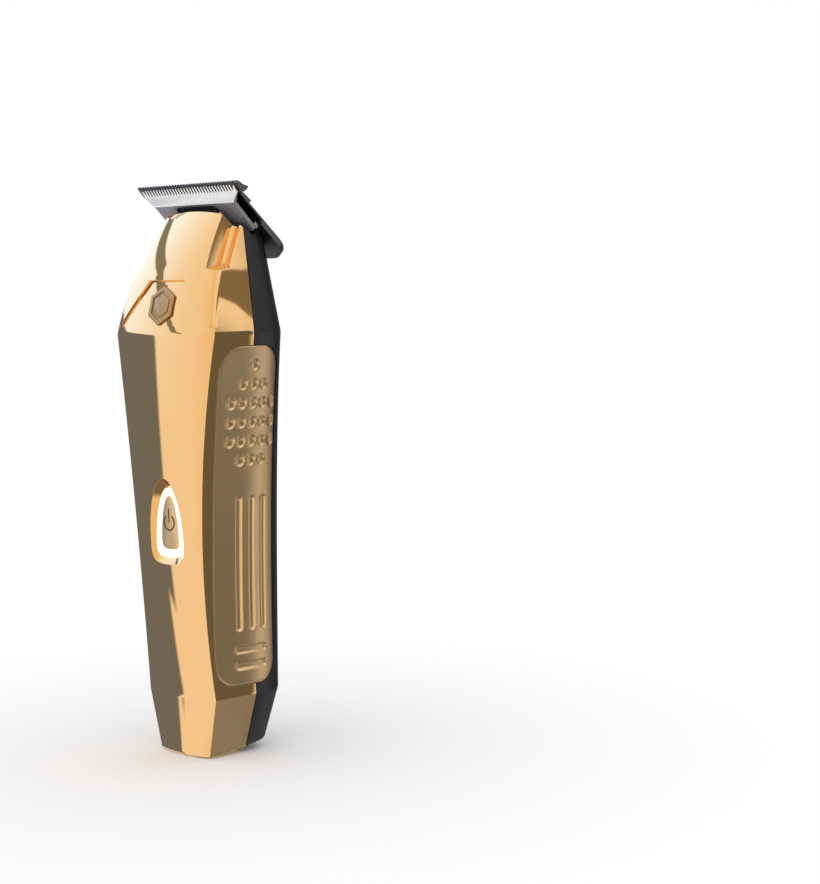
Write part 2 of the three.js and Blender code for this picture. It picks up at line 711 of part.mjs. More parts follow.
/** A blade screw: a pan head with a cross recess, and its threaded shank. */
function bladeScrew() {
  const profilePoints = [
    [0, -1.9],
    [2, -1.8],
    [2.9, -1.3],
    [BLADE_SCREW.head, -0.6],
    [BLADE_SCREW.head, -0.1],
    [1.1, -0.1],
    [1.1, 5.4],
    [0.6, 6],
    [0, 6],
  ];
  let screw = solid(turned(profilePoints, 14).rotateX(Math.PI / 2));
  for (const turn of [0, Math.PI / 2]) {
    const bar = new THREE.BoxGeometry(3.4, 0.8, 1.6).translate(0, 0, -1.9).rotateZ(turn);
    screw = screw.subtract(solid(bar));
  }
  return geometryOf(screw);
}

// ---------------------------------------------------------------- drive

/** The yoke on the moving blade: a plate in the blade's mouth with a fork that straddles the crank pin. */
function driveYoke() {
  const SLOT = STROKE * 2 + 1.1; // half the slot, so that the pin clears it at every pose
  const plate = solid(bladeBox(-6.6, 6.6, 7.2, 13, MOVING.near, SHELL_CUT - 0.1));
  const fork = solid(boxBetween(-5.4, 5.4, 0.4, 4.4, 122.4, 134));
  const belowPlate = solid(bladeBox(-10, 10, -10, 40, MOVING.near + 0.5, 60));
  const slot = solid(boxBetween(-SLOT, SLOT, -5, 8, 120, 126.5));
  return geometryOf(fork.intersect(belowPlate).add(plate).subtract(slot));
}

/** The eccentric hub: a round boss pressed on the motor shaft. */
function eccentricHub() {
  const hub = solid(rodZ(3.6, 0, DRIVE_Y, 110.5, 119.5, 20));
  const bore = solid(rodZ(1.15, 0, DRIVE_Y, 105, 115.2, 12));
  const pinBore = solid(rodZ(1.15, 0, DRIVE_Y - STROKE, 115.5, 125, 12));
  return geometryOf(hub.subtract(bore).subtract(pinBore));
}

/** A rounded flat-sided motor section: width across X, depth across Y, shrunk by inset. */
function motorSection(inset) {
  const { width, depth } = MOTOR;
  const flat = depth / 2 - inset;
  const radius = width / 2 - inset;
  const sweep = Math.asin(flat / radius);
  const shape = new THREE.Shape();
  shape.absarc(0, DRIVE_Y, radius, -sweep, sweep, false);
  shape.absarc(0, DRIVE_Y, radius, Math.PI - sweep, Math.PI + sweep, false);
  return shape;
}

/** The holes for the two motor screws, through the can and the plate. */
function motorScrewHoles() {
  const hole = (side) => solid(rodZ(1.1, side * MOTOR_SCREW_X, DRIVE_Y, MOTOR.top - 2, MOTOR.top + 6, 10));
  return hole(-1).add(hole(1));
}

/** The motor's steel can: closed at the top but for the bearing boss. */
function motorCan() {
  const outside = solid(slabZ(motorSection(0), MOTOR.bottom + 3.2, MOTOR.top, 5));
  const inside = solid(slabZ(motorSection(0.8), MOTOR.bottom, MOTOR.top - 0.8, 5));
  const bearingHole = solid(rodZ(3.2, 0, DRIVE_Y, MOTOR.top - 2, MOTOR.top + 1, 16));
  return geometryOf(outside.subtract(inside).subtract(bearingHole).subtract(motorScrewHoles()));
}

/** The plastic cap that closes the motor's lower end and holds its rear bearing and brushes. */
function motorEndCap() {
  const cap = solid(slabZ(motorSection(0), MOTOR.bottom, MOTOR.bottom + 2.9, 5));
  const hole = solid(rodZ(2.4, 0, DRIVE_Y, MOTOR.bottom - 1, MOTOR.bottom + 5, 16));
  const slot = (x) => solid(boxBetween(x - 0.9, x + 0.9, DRIVE_Y - 1.6, DRIVE_Y + 1.6, 70, 82));
  return geometryOf(cap.subtract(hole).subtract(slot(-TERMINAL_X)).subtract(slot(TERMINAL_X)));
}

/** One of the motor's two curved magnets. */
function motorMagnet(side) {
  const OUTER = 9.2;
  const INNER = 6.8;
  const SWEEP = 0.62;
  const middle = side > 0 ? 0 : Math.PI;
  const shape = new THREE.Shape();
  shape.absarc(0, DRIVE_Y, OUTER, middle - SWEEP, middle + SWEEP, false);
  shape.absarc(0, DRIVE_Y, INNER, middle + SWEEP, middle - SWEEP, true);
  return slabZ(shape, MOTOR.bottom + 8, MOTOR.top - 4, 4);
}

/** The rotor: three wound poles on one core. */
function motorRotor() {
  const POLES = 3;
  let rotor = solid(rodZ(2.6, 0, DRIVE_Y, 85.5, 101.5, 18));
  for (let k = 0; k < POLES; k += 1) {
    const angle = (k * 2 * Math.PI) / POLES + Math.PI / 2;
    const arm = new THREE.BoxGeometry(5, 1.6, 15).translate(3.2, 0, 93.5).rotateZ(angle);
    const shoe = new THREE.Shape();
    shoe.absarc(0, 0, 6.2, -0.75, 0.75, false);
    shoe.absarc(0, 0, 5, 0.75, -0.75, true);
    const shoeSolid = slabZ(shoe, 87, 100, 3).rotateZ(angle);
    const coil = new THREE.BoxGeometry(2.2, 4.4, 14).translate(3.7, 0, 93.5).rotateZ(angle);
    for (const piece of [arm, shoeSolid, coil]) {
      rotor = rotor.add(solid(piece.translate(0, DRIVE_Y, 0)));
    }
  }
  return geometryOf(rotor.subtract(solid(rodZ(1.15, 0, DRIVE_Y, 80, 105, 12))));
}

/** A ring along the motor axis. */
function motorRing(outer, inner, z0, z1) {
  const ring = solid(rodZ(outer, 0, DRIVE_Y, z0, z1, 16));
  return geometryOf(ring.subtract(solid(rodZ(inner, 0, DRIVE_Y, z0 - 1, z1 + 1, 12))));
}

/** The plate across the top of the motor that fixes it in the housing. */
function motorPlate() {
  const plate = solid(boxBetween(-13, 13, -5, 6.2, MOTOR.top + GAP, MOTOR.top + 1.8));
  const hubHole = solid(rodZ(4.6, 0, DRIVE_Y, 100, 112, 16));
  return geometryOf(plate.subtract(hubHole).subtract(motorScrewHoles()));
}

/** A small pan-head screw along Z, head up, with its head's underside at z = 0. */
function smallScrew(headRadius, headHeight, shankRadius, shankLength) {
  const points = [
    [0, -shankLength],
    [shankRadius * 0.6, -shankLength],
    [shankRadius, -shankLength + shankRadius],
    [shankRadius, 0],
    [headRadius, 0],
    [headRadius, headHeight * 0.6],
    [headRadius * 0.75, headHeight],
    [0, headHeight],
  ];
  const [long, narrow] = [headRadius * 1.1, headRadius * 0.28];
  const across = new THREE.BoxGeometry(long, headHeight, narrow).translate(0, headHeight, 0);
  const along = new THREE.BoxGeometry(narrow, headHeight, long).translate(0, headHeight, 0);
  return geometryOf(solid(turned(points, 10)).subtract(solid(across)).subtract(solid(along)));
}

/** The wire spring that presses the moving blade against the fixed one. */
function tensionSpring() {
  const RADIUS = 0.4;
  const arm = (side) => [
    [side * 7.7, 1, 129.6],
    [side * 7.7, 2.6, 125.3],
    [side * 7.5, 4.4, 122.2],
    [side * 6.6, 5.1, 121.3],
  ];
  const middle = [0, 5.3, 121.2];
  return wire([...arm(-1), middle, ...arm(1).reverse()], RADIUS, 6, 22);
}

// ---------------------------------------------------------------- electronics

/** The micro-USB socket's outline: wide at the top, with cut lower corners, grown by extra. */
function inletOutline(extra) {
  const halfTop = 3.95 + extra;
  const halfLow = 2.7 + extra;
  const [low, high] = [INLET_Z - 1.6 - extra, INLET_Z + 1.6 + extra];
  return outline([
    [-halfLow, low],
    [halfLow, low],
    [halfTop, INLET_Z - 0.2],
    [halfTop, high - 0.3],
    [halfTop - 0.3, high],
    [-halfTop + 0.3, high],
    [-halfTop, high - 0.3],
    [-halfTop, INLET_Z - 0.2],
  ]);
}

/** The socket's metal shell, open at the back of the clipper. */
function inletShell() {
  const outside = solid(slabY(inletOutline(0), 4.6, 10.6));
  return geometryOf(outside.subtract(solid(slabY(inletOutline(-0.4), 5.4, 12))));
}

/** The circuit board behind the button. */
function circuitBoard() {
  const { half, front, thickness, bottom, top } = BOARD;
  return boxBetween(-half, half, front, front + thickness, bottom, top);
}

/** The rechargeable cell with its raised positive cap. */
function cell() {
  const top = CELL.bottom + CELL.length;
  const points = [
    [0, CELL.bottom],
    [CELL.radius - 0.5, CELL.bottom],
    [CELL.radius, CELL.bottom + 0.5],
    [CELL.radius, top - 0.8],
    [CELL.radius - 0.8, top],
    [2.8, top],
    [2.8, top + 1],
    [0, top + 1],
  ];
  return turned(points, 20).rotateX(Math.PI / 2).translate(0, CELL.y, 0);
}

// ---------------------------------------------------------------- assembly

const clipper = new THREE.Group();

/** Adds a named piece to the clipper, or to a group inside it. */
function add(name, geometry, look, parent = clipper) {
  const mesh = new THREE.Mesh(geometry, look);
  mesh.name = name;
  parent.add(mesh);
  return mesh;
}

/** The two halves of the housing with their grips, badges and screws. */
function addHousing() {
  add("front_shell", frontShell(), MATERIAL.goldChrome);
  add("rear_shell", rearShell(), MATERIAL.blackSatin);
  const grip = sideGrip();
  add("grip_right", grip, MATERIAL.tanSatin);
  add("grip_left", mirrored(grip), MATERIAL.tanSatin);
  add("chest_badge", chestBadge(0, -0.75, -0.05), MATERIAL.bronze);
  const rearBadge = slabY(hexagon(0, REAR_BADGE.z, REAR_BADGE.across), REAR_BADGE.floor, REAR_BADGE.face);
  add("rear_badge", rearBadge, MATERIAL.darkSteel);
  for (const { name, x, z } of HOUSING_SCREWS) {
    const geometry = smallScrew(SCREW.head, SCREW.headHeight, SCREW.shank, SCREW.length);
    const screw = add(`housing_screw_${name}`, geometry, MATERIAL.zincSteel);
    screw.position.set(x, screwSeat(x, z) + 0.05, z);
  }
}

/** The button, its light ring and the switch it works. */
function addButton() {
  add("button_light_ring", lightRing(), MATERIAL.whiteClear);
  add("power_button", powerButton(), MATERIAL.tanSatin);
  add("switch_plunger", rodY(1.2, 0, BUTTON.z, -9.4, -8.2, 12), MATERIAL.blackPlastic);
  add("switch_body", switchBody(), MATERIAL.zincSteel);
}

/** The push switch's case, with a well for its plunger. */
function switchBody() {
  const box = solid(boxBetween(-3, 3, -8.6, BOARD.front - 0.05, BUTTON.z - 3, BUTTON.z + 3));
  return geometryOf(box.subtract(solid(rodY(1.5, 0, BUTTON.z, -10, -7.5, 12))));
}

/** Both blades, their guide and screws. They share the blade's own sloping frame. */
function addBlades() {
  const frame = new THREE.Group();
  frame.rotation.x = BLADE_TILT;
  frame.position.copy(TIP);
  clipper.add(frame);
  add("fixed_blade", fixedBlade(), MATERIAL.darkSteel, frame);
  add("moving_blade", movingBlade(), MATERIAL.brightSteel, frame);
  add("blade_guide", bladeGuide(), MATERIAL.blackPlastic, frame);
  for (const [name, side] of [["left", -1], ["right", 1]]) {
    const screw = add(`blade_screw_${name}`, bladeScrew(), MATERIAL.darkSteel, frame);
    screw.position.set(side * BLADE_SCREW.x, -BLADE_SCREW.slope, -0.1);
  }
  add("tension_spring", tensionSpring(), MATERIAL.springSteel);
}

/** The motor and everything it turns. */
function addMotor() {
  add("motor_can", motorCan(), MATERIAL.zincSteel);
  add("motor_end_cap", motorEndCap(), MATERIAL.blackPlastic);
  add("motor_magnet_left", motorMagnet(-1), MATERIAL.ferrite);
  add("motor_magnet_right", motorMagnet(1), MATERIAL.ferrite);
  add("motor_rotor", motorRotor(), MATERIAL.copper);
  add("motor_commutator", motorRing(2.2, 1.15, 80.5, 84.5), MATERIAL.copper);
  add("motor_shaft", rodZ(1, 0, DRIVE_Y, 76.5, 115, 12), MATERIAL.zincSteel);
  add("bearing_upper", motorRing(3, 1.15, 104.6, 106.2), MATERIAL.bronze);
  add("bearing_lower", motorRing(2.2, 1.15, 76.4, 78.6), MATERIAL.bronze);
  for (const [name, side] of [["left", -1], ["right", 1]]) {
    const terminal = boxBetween(-0.3, 0.3, DRIVE_Y - 1.2, DRIVE_Y + 1.2, 73.8, 80);
    add(`motor_terminal_${name}`, terminal.translate(side * TERMINAL_X, 0, 0), MATERIAL.brass);
    const geometry = smallScrew(1.7, 1, 0.8, 2.3).rotateX(Math.PI / 2);
    const screw = add(`motor_screw_${name}`, geometry, MATERIAL.zincSteel);
    screw.position.set(side * MOTOR_SCREW_X, DRIVE_Y, MOTOR.top + 1.85);
  }
  add("motor_plate", motorPlate(), MATERIAL.blackPlastic);
  add("eccentric_hub", eccentricHub(), MATERIAL.blackPlastic);
  add("crank_pin", rodZ(1, 0, DRIVE_Y - STROKE, 115.8, 126, 12), MATERIAL.zincSteel);
  add("drive_yoke", driveYoke(), MATERIAL.blackPlastic);
}

/** The cell, the boards and what is soldered to them. */
function addElectronics() {
  const chipFace = BOARD.front - 0.05;
  const rearFace = BOARD.front + BOARD.thickness + 0.05;
  add("circuit_board", circuitBoard(), MATERIAL.boardGreen);
  add("control_chip", boxBetween(-2.6, 2.6, rearFace, rearFace + 1.2, 27, 33), MATERIAL.blackPlastic);
  add("inductor", boxBetween(-2.4, 2.4, chipFace - 1.6, chipFace, 30, 34.8), MATERIAL.ferrite);
  add("ring_light_upper", boxBetween(-1, 1, chipFace - 0.9, chipFace, 67.6, 69.4), MATERIAL.whiteClear);
  add("ring_light_lower", boxBetween(-1, 1, chipFace - 0.9, chipFace, 45.4, 47.2), MATERIAL.whiteClear);
  add("cell", cell(), MATERIAL.cellBlue);
  add("cell_foam", boxBetween(-4, 4, 10.1, 10.6, 30, 56), MATERIAL.rubber);
  const top = CELL.bottom + CELL.length + 1.05;
  add("cell_tab_positive", boxBetween(-2, 2, CELL.y - 7, CELL.y + 2.5, top, top + 0.25), MATERIAL.nickel);
  add("cell_tab_negative", boxBetween(-2, 2, CELL.y - 8, CELL.y + 3, 16.9, 17.15), MATERIAL.nickel);
  add("charging_board", boxBetween(-4.9, 4.9, -6, 8.3, 7, 7.8), MATERIAL.boardGreen);
  add("inlet_shell", inletShell(), MATERIAL.zincSteel);
  add("inlet_tongue", boxBetween(-2.2, 2.2, 5.5, 9.6, 9.9, 10.5), MATERIAL.blackPlastic);
  add("charge_light", boxBetween(-1, 1, 8, 9.2, 107.5, 109.5), MATERIAL.whiteClear);
  add("light_pipe", lightPipe(), MATERIAL.whiteClear);
}

/** The clear pin that carries the charge light through the back. */
function lightPipe() {
  const points = [
    [0, 9.3],
    [1.3, 9.3],
    [1.3, 9.9],
    [LIGHT_PIPE.radius, 9.9],
    [LIGHT_PIPE.radius, 12.1],
    [LIGHT_PIPE.radius - 0.2, 12.3],
    [0, 12.3],
  ];
  return turned(points, 10).translate(0, 0, LIGHT_PIPE.z);
}

/** A lead from a motor terminal down to the circuit board. */
function motorLead(side) {
  const points = [
    [side * TERMINAL_X, -3.4, 74.6],
    [side * TERMINAL_X, -5, 72.5],
    [side * 6.5, LEAD.y, 69],
    [side * 6.5, LEAD.y, 62],
  ];
  return wire(points, LEAD.radius);
}

/** The four leads: two from the cell to the board, two from the board to the motor. */
function addLeads() {
  const fromCellTop = [
    [2.8, -4.6, 67.6],
    [3.6, -5.2, 66],
    [4, LEAD.y, 62],
    [4, LEAD.y, 56],
  ];
  const fromCellBottom = [
    [-3, -4.6, 16.6],
    [-3.6, -5.4, 18],
    [-4, LEAD.y, 21],
    [-4, LEAD.y, 26],
  ];
  add("lead_cell_positive", wire(fromCellTop, LEAD.radius), MATERIAL.redWire);
  add("lead_cell_negative", wire(fromCellBottom, LEAD.radius), MATERIAL.blackWire);
  add("lead_motor_positive", motorLead(1), MATERIAL.redWire);
  add("lead_motor_negative", motorLead(-1), MATERIAL.blackWire);
}

addHousing();
addButton();
addBlades();
addMotor();
addElectronics();
addLeads();

export default clipper;
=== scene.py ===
"""The looks of a cordless T-blade hair clipper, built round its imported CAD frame.

Shapes are worked out in millimetres, in the CAD frame, and turned to metres when a mesh is made.
"""
import math

import bmesh
import bpy
import numpy as np
from mathutils import Matrix, Vector
from mathutils.bvhtree import BVHTree
from mathutils.interpolate import poly_3d_calc


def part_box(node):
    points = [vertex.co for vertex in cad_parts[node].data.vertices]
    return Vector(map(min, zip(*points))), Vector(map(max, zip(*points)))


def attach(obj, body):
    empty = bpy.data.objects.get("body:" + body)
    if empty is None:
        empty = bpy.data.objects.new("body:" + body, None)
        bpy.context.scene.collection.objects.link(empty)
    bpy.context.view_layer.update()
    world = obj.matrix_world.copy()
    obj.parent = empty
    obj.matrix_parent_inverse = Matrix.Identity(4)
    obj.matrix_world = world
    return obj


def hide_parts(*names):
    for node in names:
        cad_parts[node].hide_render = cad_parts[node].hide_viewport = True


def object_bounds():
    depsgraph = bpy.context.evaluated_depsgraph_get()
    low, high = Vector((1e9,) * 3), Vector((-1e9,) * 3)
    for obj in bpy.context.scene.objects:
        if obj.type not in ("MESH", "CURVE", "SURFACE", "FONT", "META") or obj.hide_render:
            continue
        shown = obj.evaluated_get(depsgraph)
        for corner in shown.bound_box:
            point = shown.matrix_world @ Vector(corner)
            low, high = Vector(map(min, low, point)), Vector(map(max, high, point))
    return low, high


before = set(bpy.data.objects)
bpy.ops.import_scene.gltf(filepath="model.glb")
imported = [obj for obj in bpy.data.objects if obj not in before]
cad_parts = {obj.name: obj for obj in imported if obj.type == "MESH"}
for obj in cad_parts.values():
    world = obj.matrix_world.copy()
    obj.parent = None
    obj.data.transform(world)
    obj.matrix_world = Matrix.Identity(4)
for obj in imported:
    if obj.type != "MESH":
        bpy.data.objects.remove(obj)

CAD_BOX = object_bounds()
MM = 0.001
ROOT_HALF = math.sqrt(0.5)


def node_box(name):
    """Lowest and highest corner of a CAD node, in millimetres."""
    return [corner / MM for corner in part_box(name)]


def node_centre(name):
    """Middle of a CAD node's box, in millimetres."""
    low, high = node_box(name)
    return (low + high) / 2


# ---------------------------------------------------------------- driving dimensions, as in the CAD

LENGTH = CAD_BOX[1].z / MM
LOWER_CREASE = 15
SHOULDER = 103.5
WALL = 2
GAP = 0.3
FOOT_SLOPE = 0.12
FRONT_Y = -11.6

HOOD = {"rise": 0.7, "chamfer": 1.1, "bottom": 105.3}
CHEST = {"top": 116.4, "top_half": 6.3, "bottom_half": 15.6, "flare": 2.2, "tilt": -16}
POCKET = {"floor": 119.8, "lift": 0.4, "fall": 0.21, "x": 11.9, "x_top": 9.8, "y": -3.4, "y_top": 5.2,
          "top": 136, "round": 1.2, "wall": 1.4}
RIB = {"radius": 1.9, "radius_top": 0.9, "depth": 0.45, "across": 2.6, "across_top": 2.2}
SEAM_LINE = [(-0.4, -10), (-0.4, 0), (0.8, LOWER_CREASE), (-1.2, SHOULDER), (4.1, LENGTH + 10)]

BUTTON_Z = node_centre("power_button").z
BUTTON_FACE = node_box("power_button")[0].y
BUTTON_SIZE = (6.4, 13.4)
RING_SIZE = (9.7, 17)
RING_Y = -13.0
DISH_SIZE = (13.2, 21.7)
DISH_EDGE = 14.95
ICON = {"radius": 1.85, "stroke": 0.34, "opening": 33, "bar": 3.4, "depth": 0.5}
HEXAGON = 8.4

# The blade's own frame starts at the middle of the fixed blade's tips: up points up its 45 degree slope
# and inwards points away from its outer face.
TIP_EDGE = 0.55
TIP_Y = -3.35
TIP_Z = LENGTH + TIP_EDGE * ROOT_HALF
FIXED = {"half": 18.6, "neck": 15.1, "foot": 16.1, "length": 25.75, "thick": 1.5, "step": 8.4, "proud": 0.8,
         "relief": 0.45}
MOVING = {"half": 17, "back": 14.5, "length": 14.5, "mouth": 8.2, "edge": 0.7, "ground": 5.0,
          "near": 2.4, "far": 3.3}
TOOTH = {"pitch": 1.04, "fixed": 33, "moving": 31, "fixed_depth": 1.9, "moving_depth": 1.8,
         "root": 0.36, "flank": 0.30, "tip": 0.15}
SHELL_CUT = 4.4
HEAD_CUT = SHELL_CUT + 0.45
SEAT_START = 15.2
BLADE_SCREW = {"across": 5.5, "down": 18.9, "hole": 1.5}

# ---------------------------------------------------------------- mesh helpers


def new_object(name, points, faces):
    """An object with a mesh made from points in millimetres."""
    mesh = bpy.data.meshes.new(name)
    mesh.from_pydata((np.asarray(points, float) * MM).tolist(), [], faces)
    mesh.update()
    obj = bpy.data.objects.new(name, mesh)
    bpy.context.scene.collection.objects.link(obj)
    return obj


def face_outwards(obj):
    """Turns all faces of a closed mesh outwards."""
    work = bmesh.new()
    work.from_mesh(obj.data)
    bmesh.ops.recalc_face_normals(work, faces=work.faces)
    work.to_mesh(obj.data)
    work.free()
    return obj


def grid_faces(rows, columns, ring=True):
    """Quads between rows of points; each row closes on itself if ring is true."""
    faces = []
    for row in range(rows - 1):
        for column in range(columns if ring else columns - 1):
            following = (column + 1) % columns
            low, high = row * columns, (row + 1) * columns
            faces.append((low + column, low + following, high + following, high + column))
    return faces


def loft(name, loops):
    """A closed body through equally long closed loops, with a flat end on the first and the last."""
    loops = np.asarray(loops, float)
    rows, columns = loops.shape[:2]
    faces = grid_faces(rows, columns)
    faces.append(tuple(reversed(range(columns))))
    faces.append(tuple(range((rows - 1) * columns, rows * columns)))
    return face_outwards(new_object(name, loops.reshape(-1, 3), faces))


def ring_body(name, loops):
    """A closed ring through equally long closed loops, the last joined to the first."""
    loops = np.asarray(loops, float)
    rows, columns = loops.shape[:2]
    points = np.concatenate([loops, loops[:1]]).reshape(-1, 3)
    faces = [tuple(k % (rows * columns) for k in face) for face in grid_faces(rows + 1, columns)]
    return face_outwards(new_object(name, points[: rows * columns], faces))


def crowned(name, loops, top):
    """Like loft, but the last loop closes on one point."""
    loops = np.asarray(loops, float)
    rows, columns = loops.shape[:2]
    points = np.concatenate([loops.reshape(-1, 3), [top]])
    last = (rows - 1) * columns
    faces = grid_faces(rows, columns)
    faces.append(tuple(reversed(range(columns))))
    faces += [(last + k, last + (k + 1) % columns, rows * columns) for k in range(columns)]
    return face_outwards(new_object(name, points, faces))


def along(axis, outline, depth):
    """Points of a 2-D outline placed at a depth along an axis: X and Z for "y", Y and Z for "x"."""
    outline = np.asarray(outline, float)
    a, b = outline[:, 0], outline[:, 1]
    c = np.full(len(outline), float(depth))
    return np.stack({"x": (c, a, b), "y": (a, c, b), "z": (a, b, c)}[axis], axis=1)


def prism(name, axis, outline, low, high):
    """An outline extruded along an axis between two depths."""
    return loft(name, [along(axis, outline, low), along(axis, outline, high)])


def turned(name, profile, sides=48):
    """A closed body of revolution round the Y axis, from (radius, y) pairs off the axis."""
    angles = np.linspace(0, 2 * math.pi, sides, endpoint=False)
    round_trip = np.sin(angles), np.cos(angles)
    loops = [along("y", np.stack([r * round_trip[0], r * round_trip[1]], axis=1), y) for r, y in profile]
    return loft(name, loops)


def applied(obj):
    """Applies all modifiers of an object to its mesh."""
    result = bpy.data.meshes.new_from_object(obj.evaluated_get(bpy.context.evaluated_depsgraph_get()))
    obj.modifiers.clear()
    old, obj.data = obj.data, result
    bpy.data.meshes.remove(old)
    return obj


def combined(obj, other, operation="DIFFERENCE"):
    """Cuts or joins obj with another closed body, which is then removed."""
    modifier = obj.modifiers.new("combine", "BOOLEAN")
    modifier.object = other
    modifier.operation = operation
    modifier.solver = "MANIFOLD"
    applied(obj)
    if not obj.data.polygons:
        raise ValueError(f"nothing is left of {obj.name} after {operation} with {other.name}")
    discard(other)
    return obj


def discard(obj):
    """Removes an object with its mesh."""
    mesh = obj.data
    bpy.data.objects.remove(obj)
    bpy.data.meshes.remove(mesh)


def copied(obj, name):
    """An independent copy of an object and its mesh."""
    other = bpy.data.objects.new(name, obj.data.copy())
    other.matrix_world = obj.matrix_world
    bpy.context.scene.collection.objects.link(other)
    return other


def baked(obj, matrix):
    """Moves an object's mesh by a matrix whose lengths are in millimetres."""
    metres = matrix.copy()
    metres.translation = matrix.translation * MM
    obj.data.transform(metres)
    if metres.determinant() < 0:
        obj.data.flip_normals()
    return obj


def rounded(obj, width, angle=35, segments=2):
    """Rounds a body's edges that turn by more than an angle, and applies it."""
    modifier = obj.modifiers.new("round", "BEVEL")
    modifier.width = width * MM
    modifier.segments = segments
    modifier.limit_method = "ANGLE"
    modifier.angle_limit = math.radians(angle)
    modifier.use_clamp_overlap = True
    return applied(obj)


def smoothed(obj, angle=38):
    """Shades a mesh smooth, with sharp edges where its faces turn by more than an angle."""
    mesh = obj.data
    mesh.shade_smooth()
    mesh.set_sharp_from_angle(angle=math.radians(angle))
    return obj


def take_normals(obj, source):
    """Gives the faces of obj that lie on source the smooth normals of source."""
    mesh, origin = obj.data, source.data
    places = [vertex.co for vertex in origin.vertices]
    corners = [[places[k] for k in face.vertices] for face in origin.polygons]
    tree = BVHTree.FromPolygons(places, [face.vertices for face in origin.polygons])
    normals = [(0.0, 0.0, 0.0)] * len(mesh.loops)
    source_normals = [corner.vector for corner in origin.corner_normals]
    for face in mesh.polygons:
        place, normal, index, distance = tree.find_nearest(face.center)
        if index is None or distance > 0.02 * MM or normal.dot(face.normal) < 0.97:
            continue
        for loop in face.loop_indices:
            inside = mesh.vertices[mesh.loops[loop].vertex_index].co.lerp(face.center, 0.02)
            place, normal, index, distance = tree.find_nearest(inside)
            weights = poly_3d_calc(corners[index], place)
            first = origin.polygons[index].loop_start
            blend = Vector()
            for k, weight in enumerate(weights):
                blend += source_normals[first + k] * weight
            normals[loop] = tuple(blend.normalized())
    mesh.normals_split_custom_set(normals)
    return obj


# ---------------------------------------------------------------- outlines


def bezier(points, count):
    """A cubic Bezier curve from its four control points, without its last point."""
    t = np.linspace(0, 1, count, endpoint=False)[:, None]
    p = np.asarray(points, float)
    return (1 - t) ** 3 * p[0] + 3 * (1 - t) ** 2 * t * p[1] + 3 * (1 - t) * t**2 * p[2] + t**3 * p[3]


def egg(width, height, centre=None, steps=24):
    """The button's egg outline: narrow above, wide and flatter below."""
    half, middle = width / 2, BUTTON_Z if centre is None else centre
    low, top = middle - height / 2, middle + height / 2
    wide, shoulder = low + height * 0.25, low + height * 0.69
    flat = low + height * 0.04
    right = [
        bezier([(0, low), (half * 0.92, low), (half * 1.04, flat), (half, wide)], steps),
        bezier([(half, wide), (half * 0.96, shoulder), (half * 0.48, top), (0, top)], steps),
    ]
    left = [
        bezier([(0, top), (-half * 0.48, top), (-half * 0.96, shoulder), (-half, wide)], steps),
        bezier([(-half, wide), (-half * 1.04, flat), (-half * 0.92, low), (0, low)], steps),
    ]
    return np.concatenate(right + left)


def arc(a, b, radius, start, end, count=10):
    """Points on an arc between two angles in degrees."""
    angles = np.radians(np.linspace(start, end, count))
    return [(a + radius * math.cos(t), b + radius * math.sin(t)) for t in angles]


def rounded_rectangle(a, b, width, height, radius, steps=8):
    """A rectangle with round corners, centred on (a, b)."""
    points = []
    for quarter, (side, level) in enumerate([(1, -1), (1, 1), (-1, 1), (-1, -1)]):
        centre = (a + side * (width / 2 - radius), b + level * (height / 2 - radius))
        points += arc(*centre, radius, 90 * (quarter - 1), 90 * quarter, steps + 1)
    return np.array(points)


def hexagon(across, middle=0.0):
    """A regular hexagon with a corner at the top, centred at a height."""
    angles = math.pi / 2 + np.arange(6) * math.pi / 3
    radius = across / math.sqrt(3)
    return np.stack([radius * np.cos(angles), middle + radius * np.sin(angles)], axis=1)


# ---------------------------------------------------------------- housing form


def form(z):
    """Seam, ridge, ridge depth, front bulge and back of the housing at heights z."""
    z = np.asarray(z, float)
    foot = np.maximum(z, -3) / LOWER_CREASE
    body = (np.clip(z, LOWER_CREASE, SHOULDER) - LOWER_CREASE) / (SHOULDER - LOWER_CREASE)
    head = np.maximum(z, SHOULDER) - SHOULDER
    at_foot = [10.9 + 3.4 * foot, 8.9 + 3.4 * foot, -10.6 - 0.3 * foot, 1 + 0 * foot, 9.3 + 3.1 * foot]
    at_body = [
        14.3 + 5.7 * body**2.6,
        12.3 - 5.4 * body + 11.3 * body**2,
        -10.9 - 8.5 * body + 6.9 * body**2,
        1 + 1.1 * body**3,
        12.4 + 3.6 * body * (1 - body),
    ]
    at_head = [
        20 - 0.243 * head,
        18.2 - 0.19 * head,
        -12.5 + 0.17 * head + 0.0088 * head**2,
        2.1 + 0 * head,
        12.4 - 0.034 * head,
    ]
    return np.array([np.where(z < LOWER_CREASE, a, np.where(z <= SHOULDER, b, c))
                     for a, b, c in zip(at_foot, at_body, at_head)])


def soft_form(z, softness=0.45):
    """The housing's form with its creases rounded over a short height."""
    offsets = np.linspace(-softness, softness, 9)
    return np.mean([form(np.asarray(z, float) + d) for d in offsets], axis=0)


def hood_rise(z):
    """How far the head's front face stands out in front of the chest plate at heights z."""
    t = np.clip((np.asarray(z, float) - HOOD["bottom"]) / 0.25 + 0.5, 0, 1)
    return HOOD["rise"] * t * t * (3 - 2 * t)


FRONT_STEPS = 22
SIDE_STEPS = 12
BACK_STEPS = 30
RIDGE_ROUND = 0.4  # how far the ridge's rounding reaches from the corner
SEAM_ROUND = 4.5


def curve_through(start, corner, end, count):
    """Points strictly between start and end on the curve that rounds a corner."""
    t = (np.arange(1, count) / count)[:, None]
    return (1 - t) ** 2 * start + 2 * (1 - t) * t * corner + t**2 * end


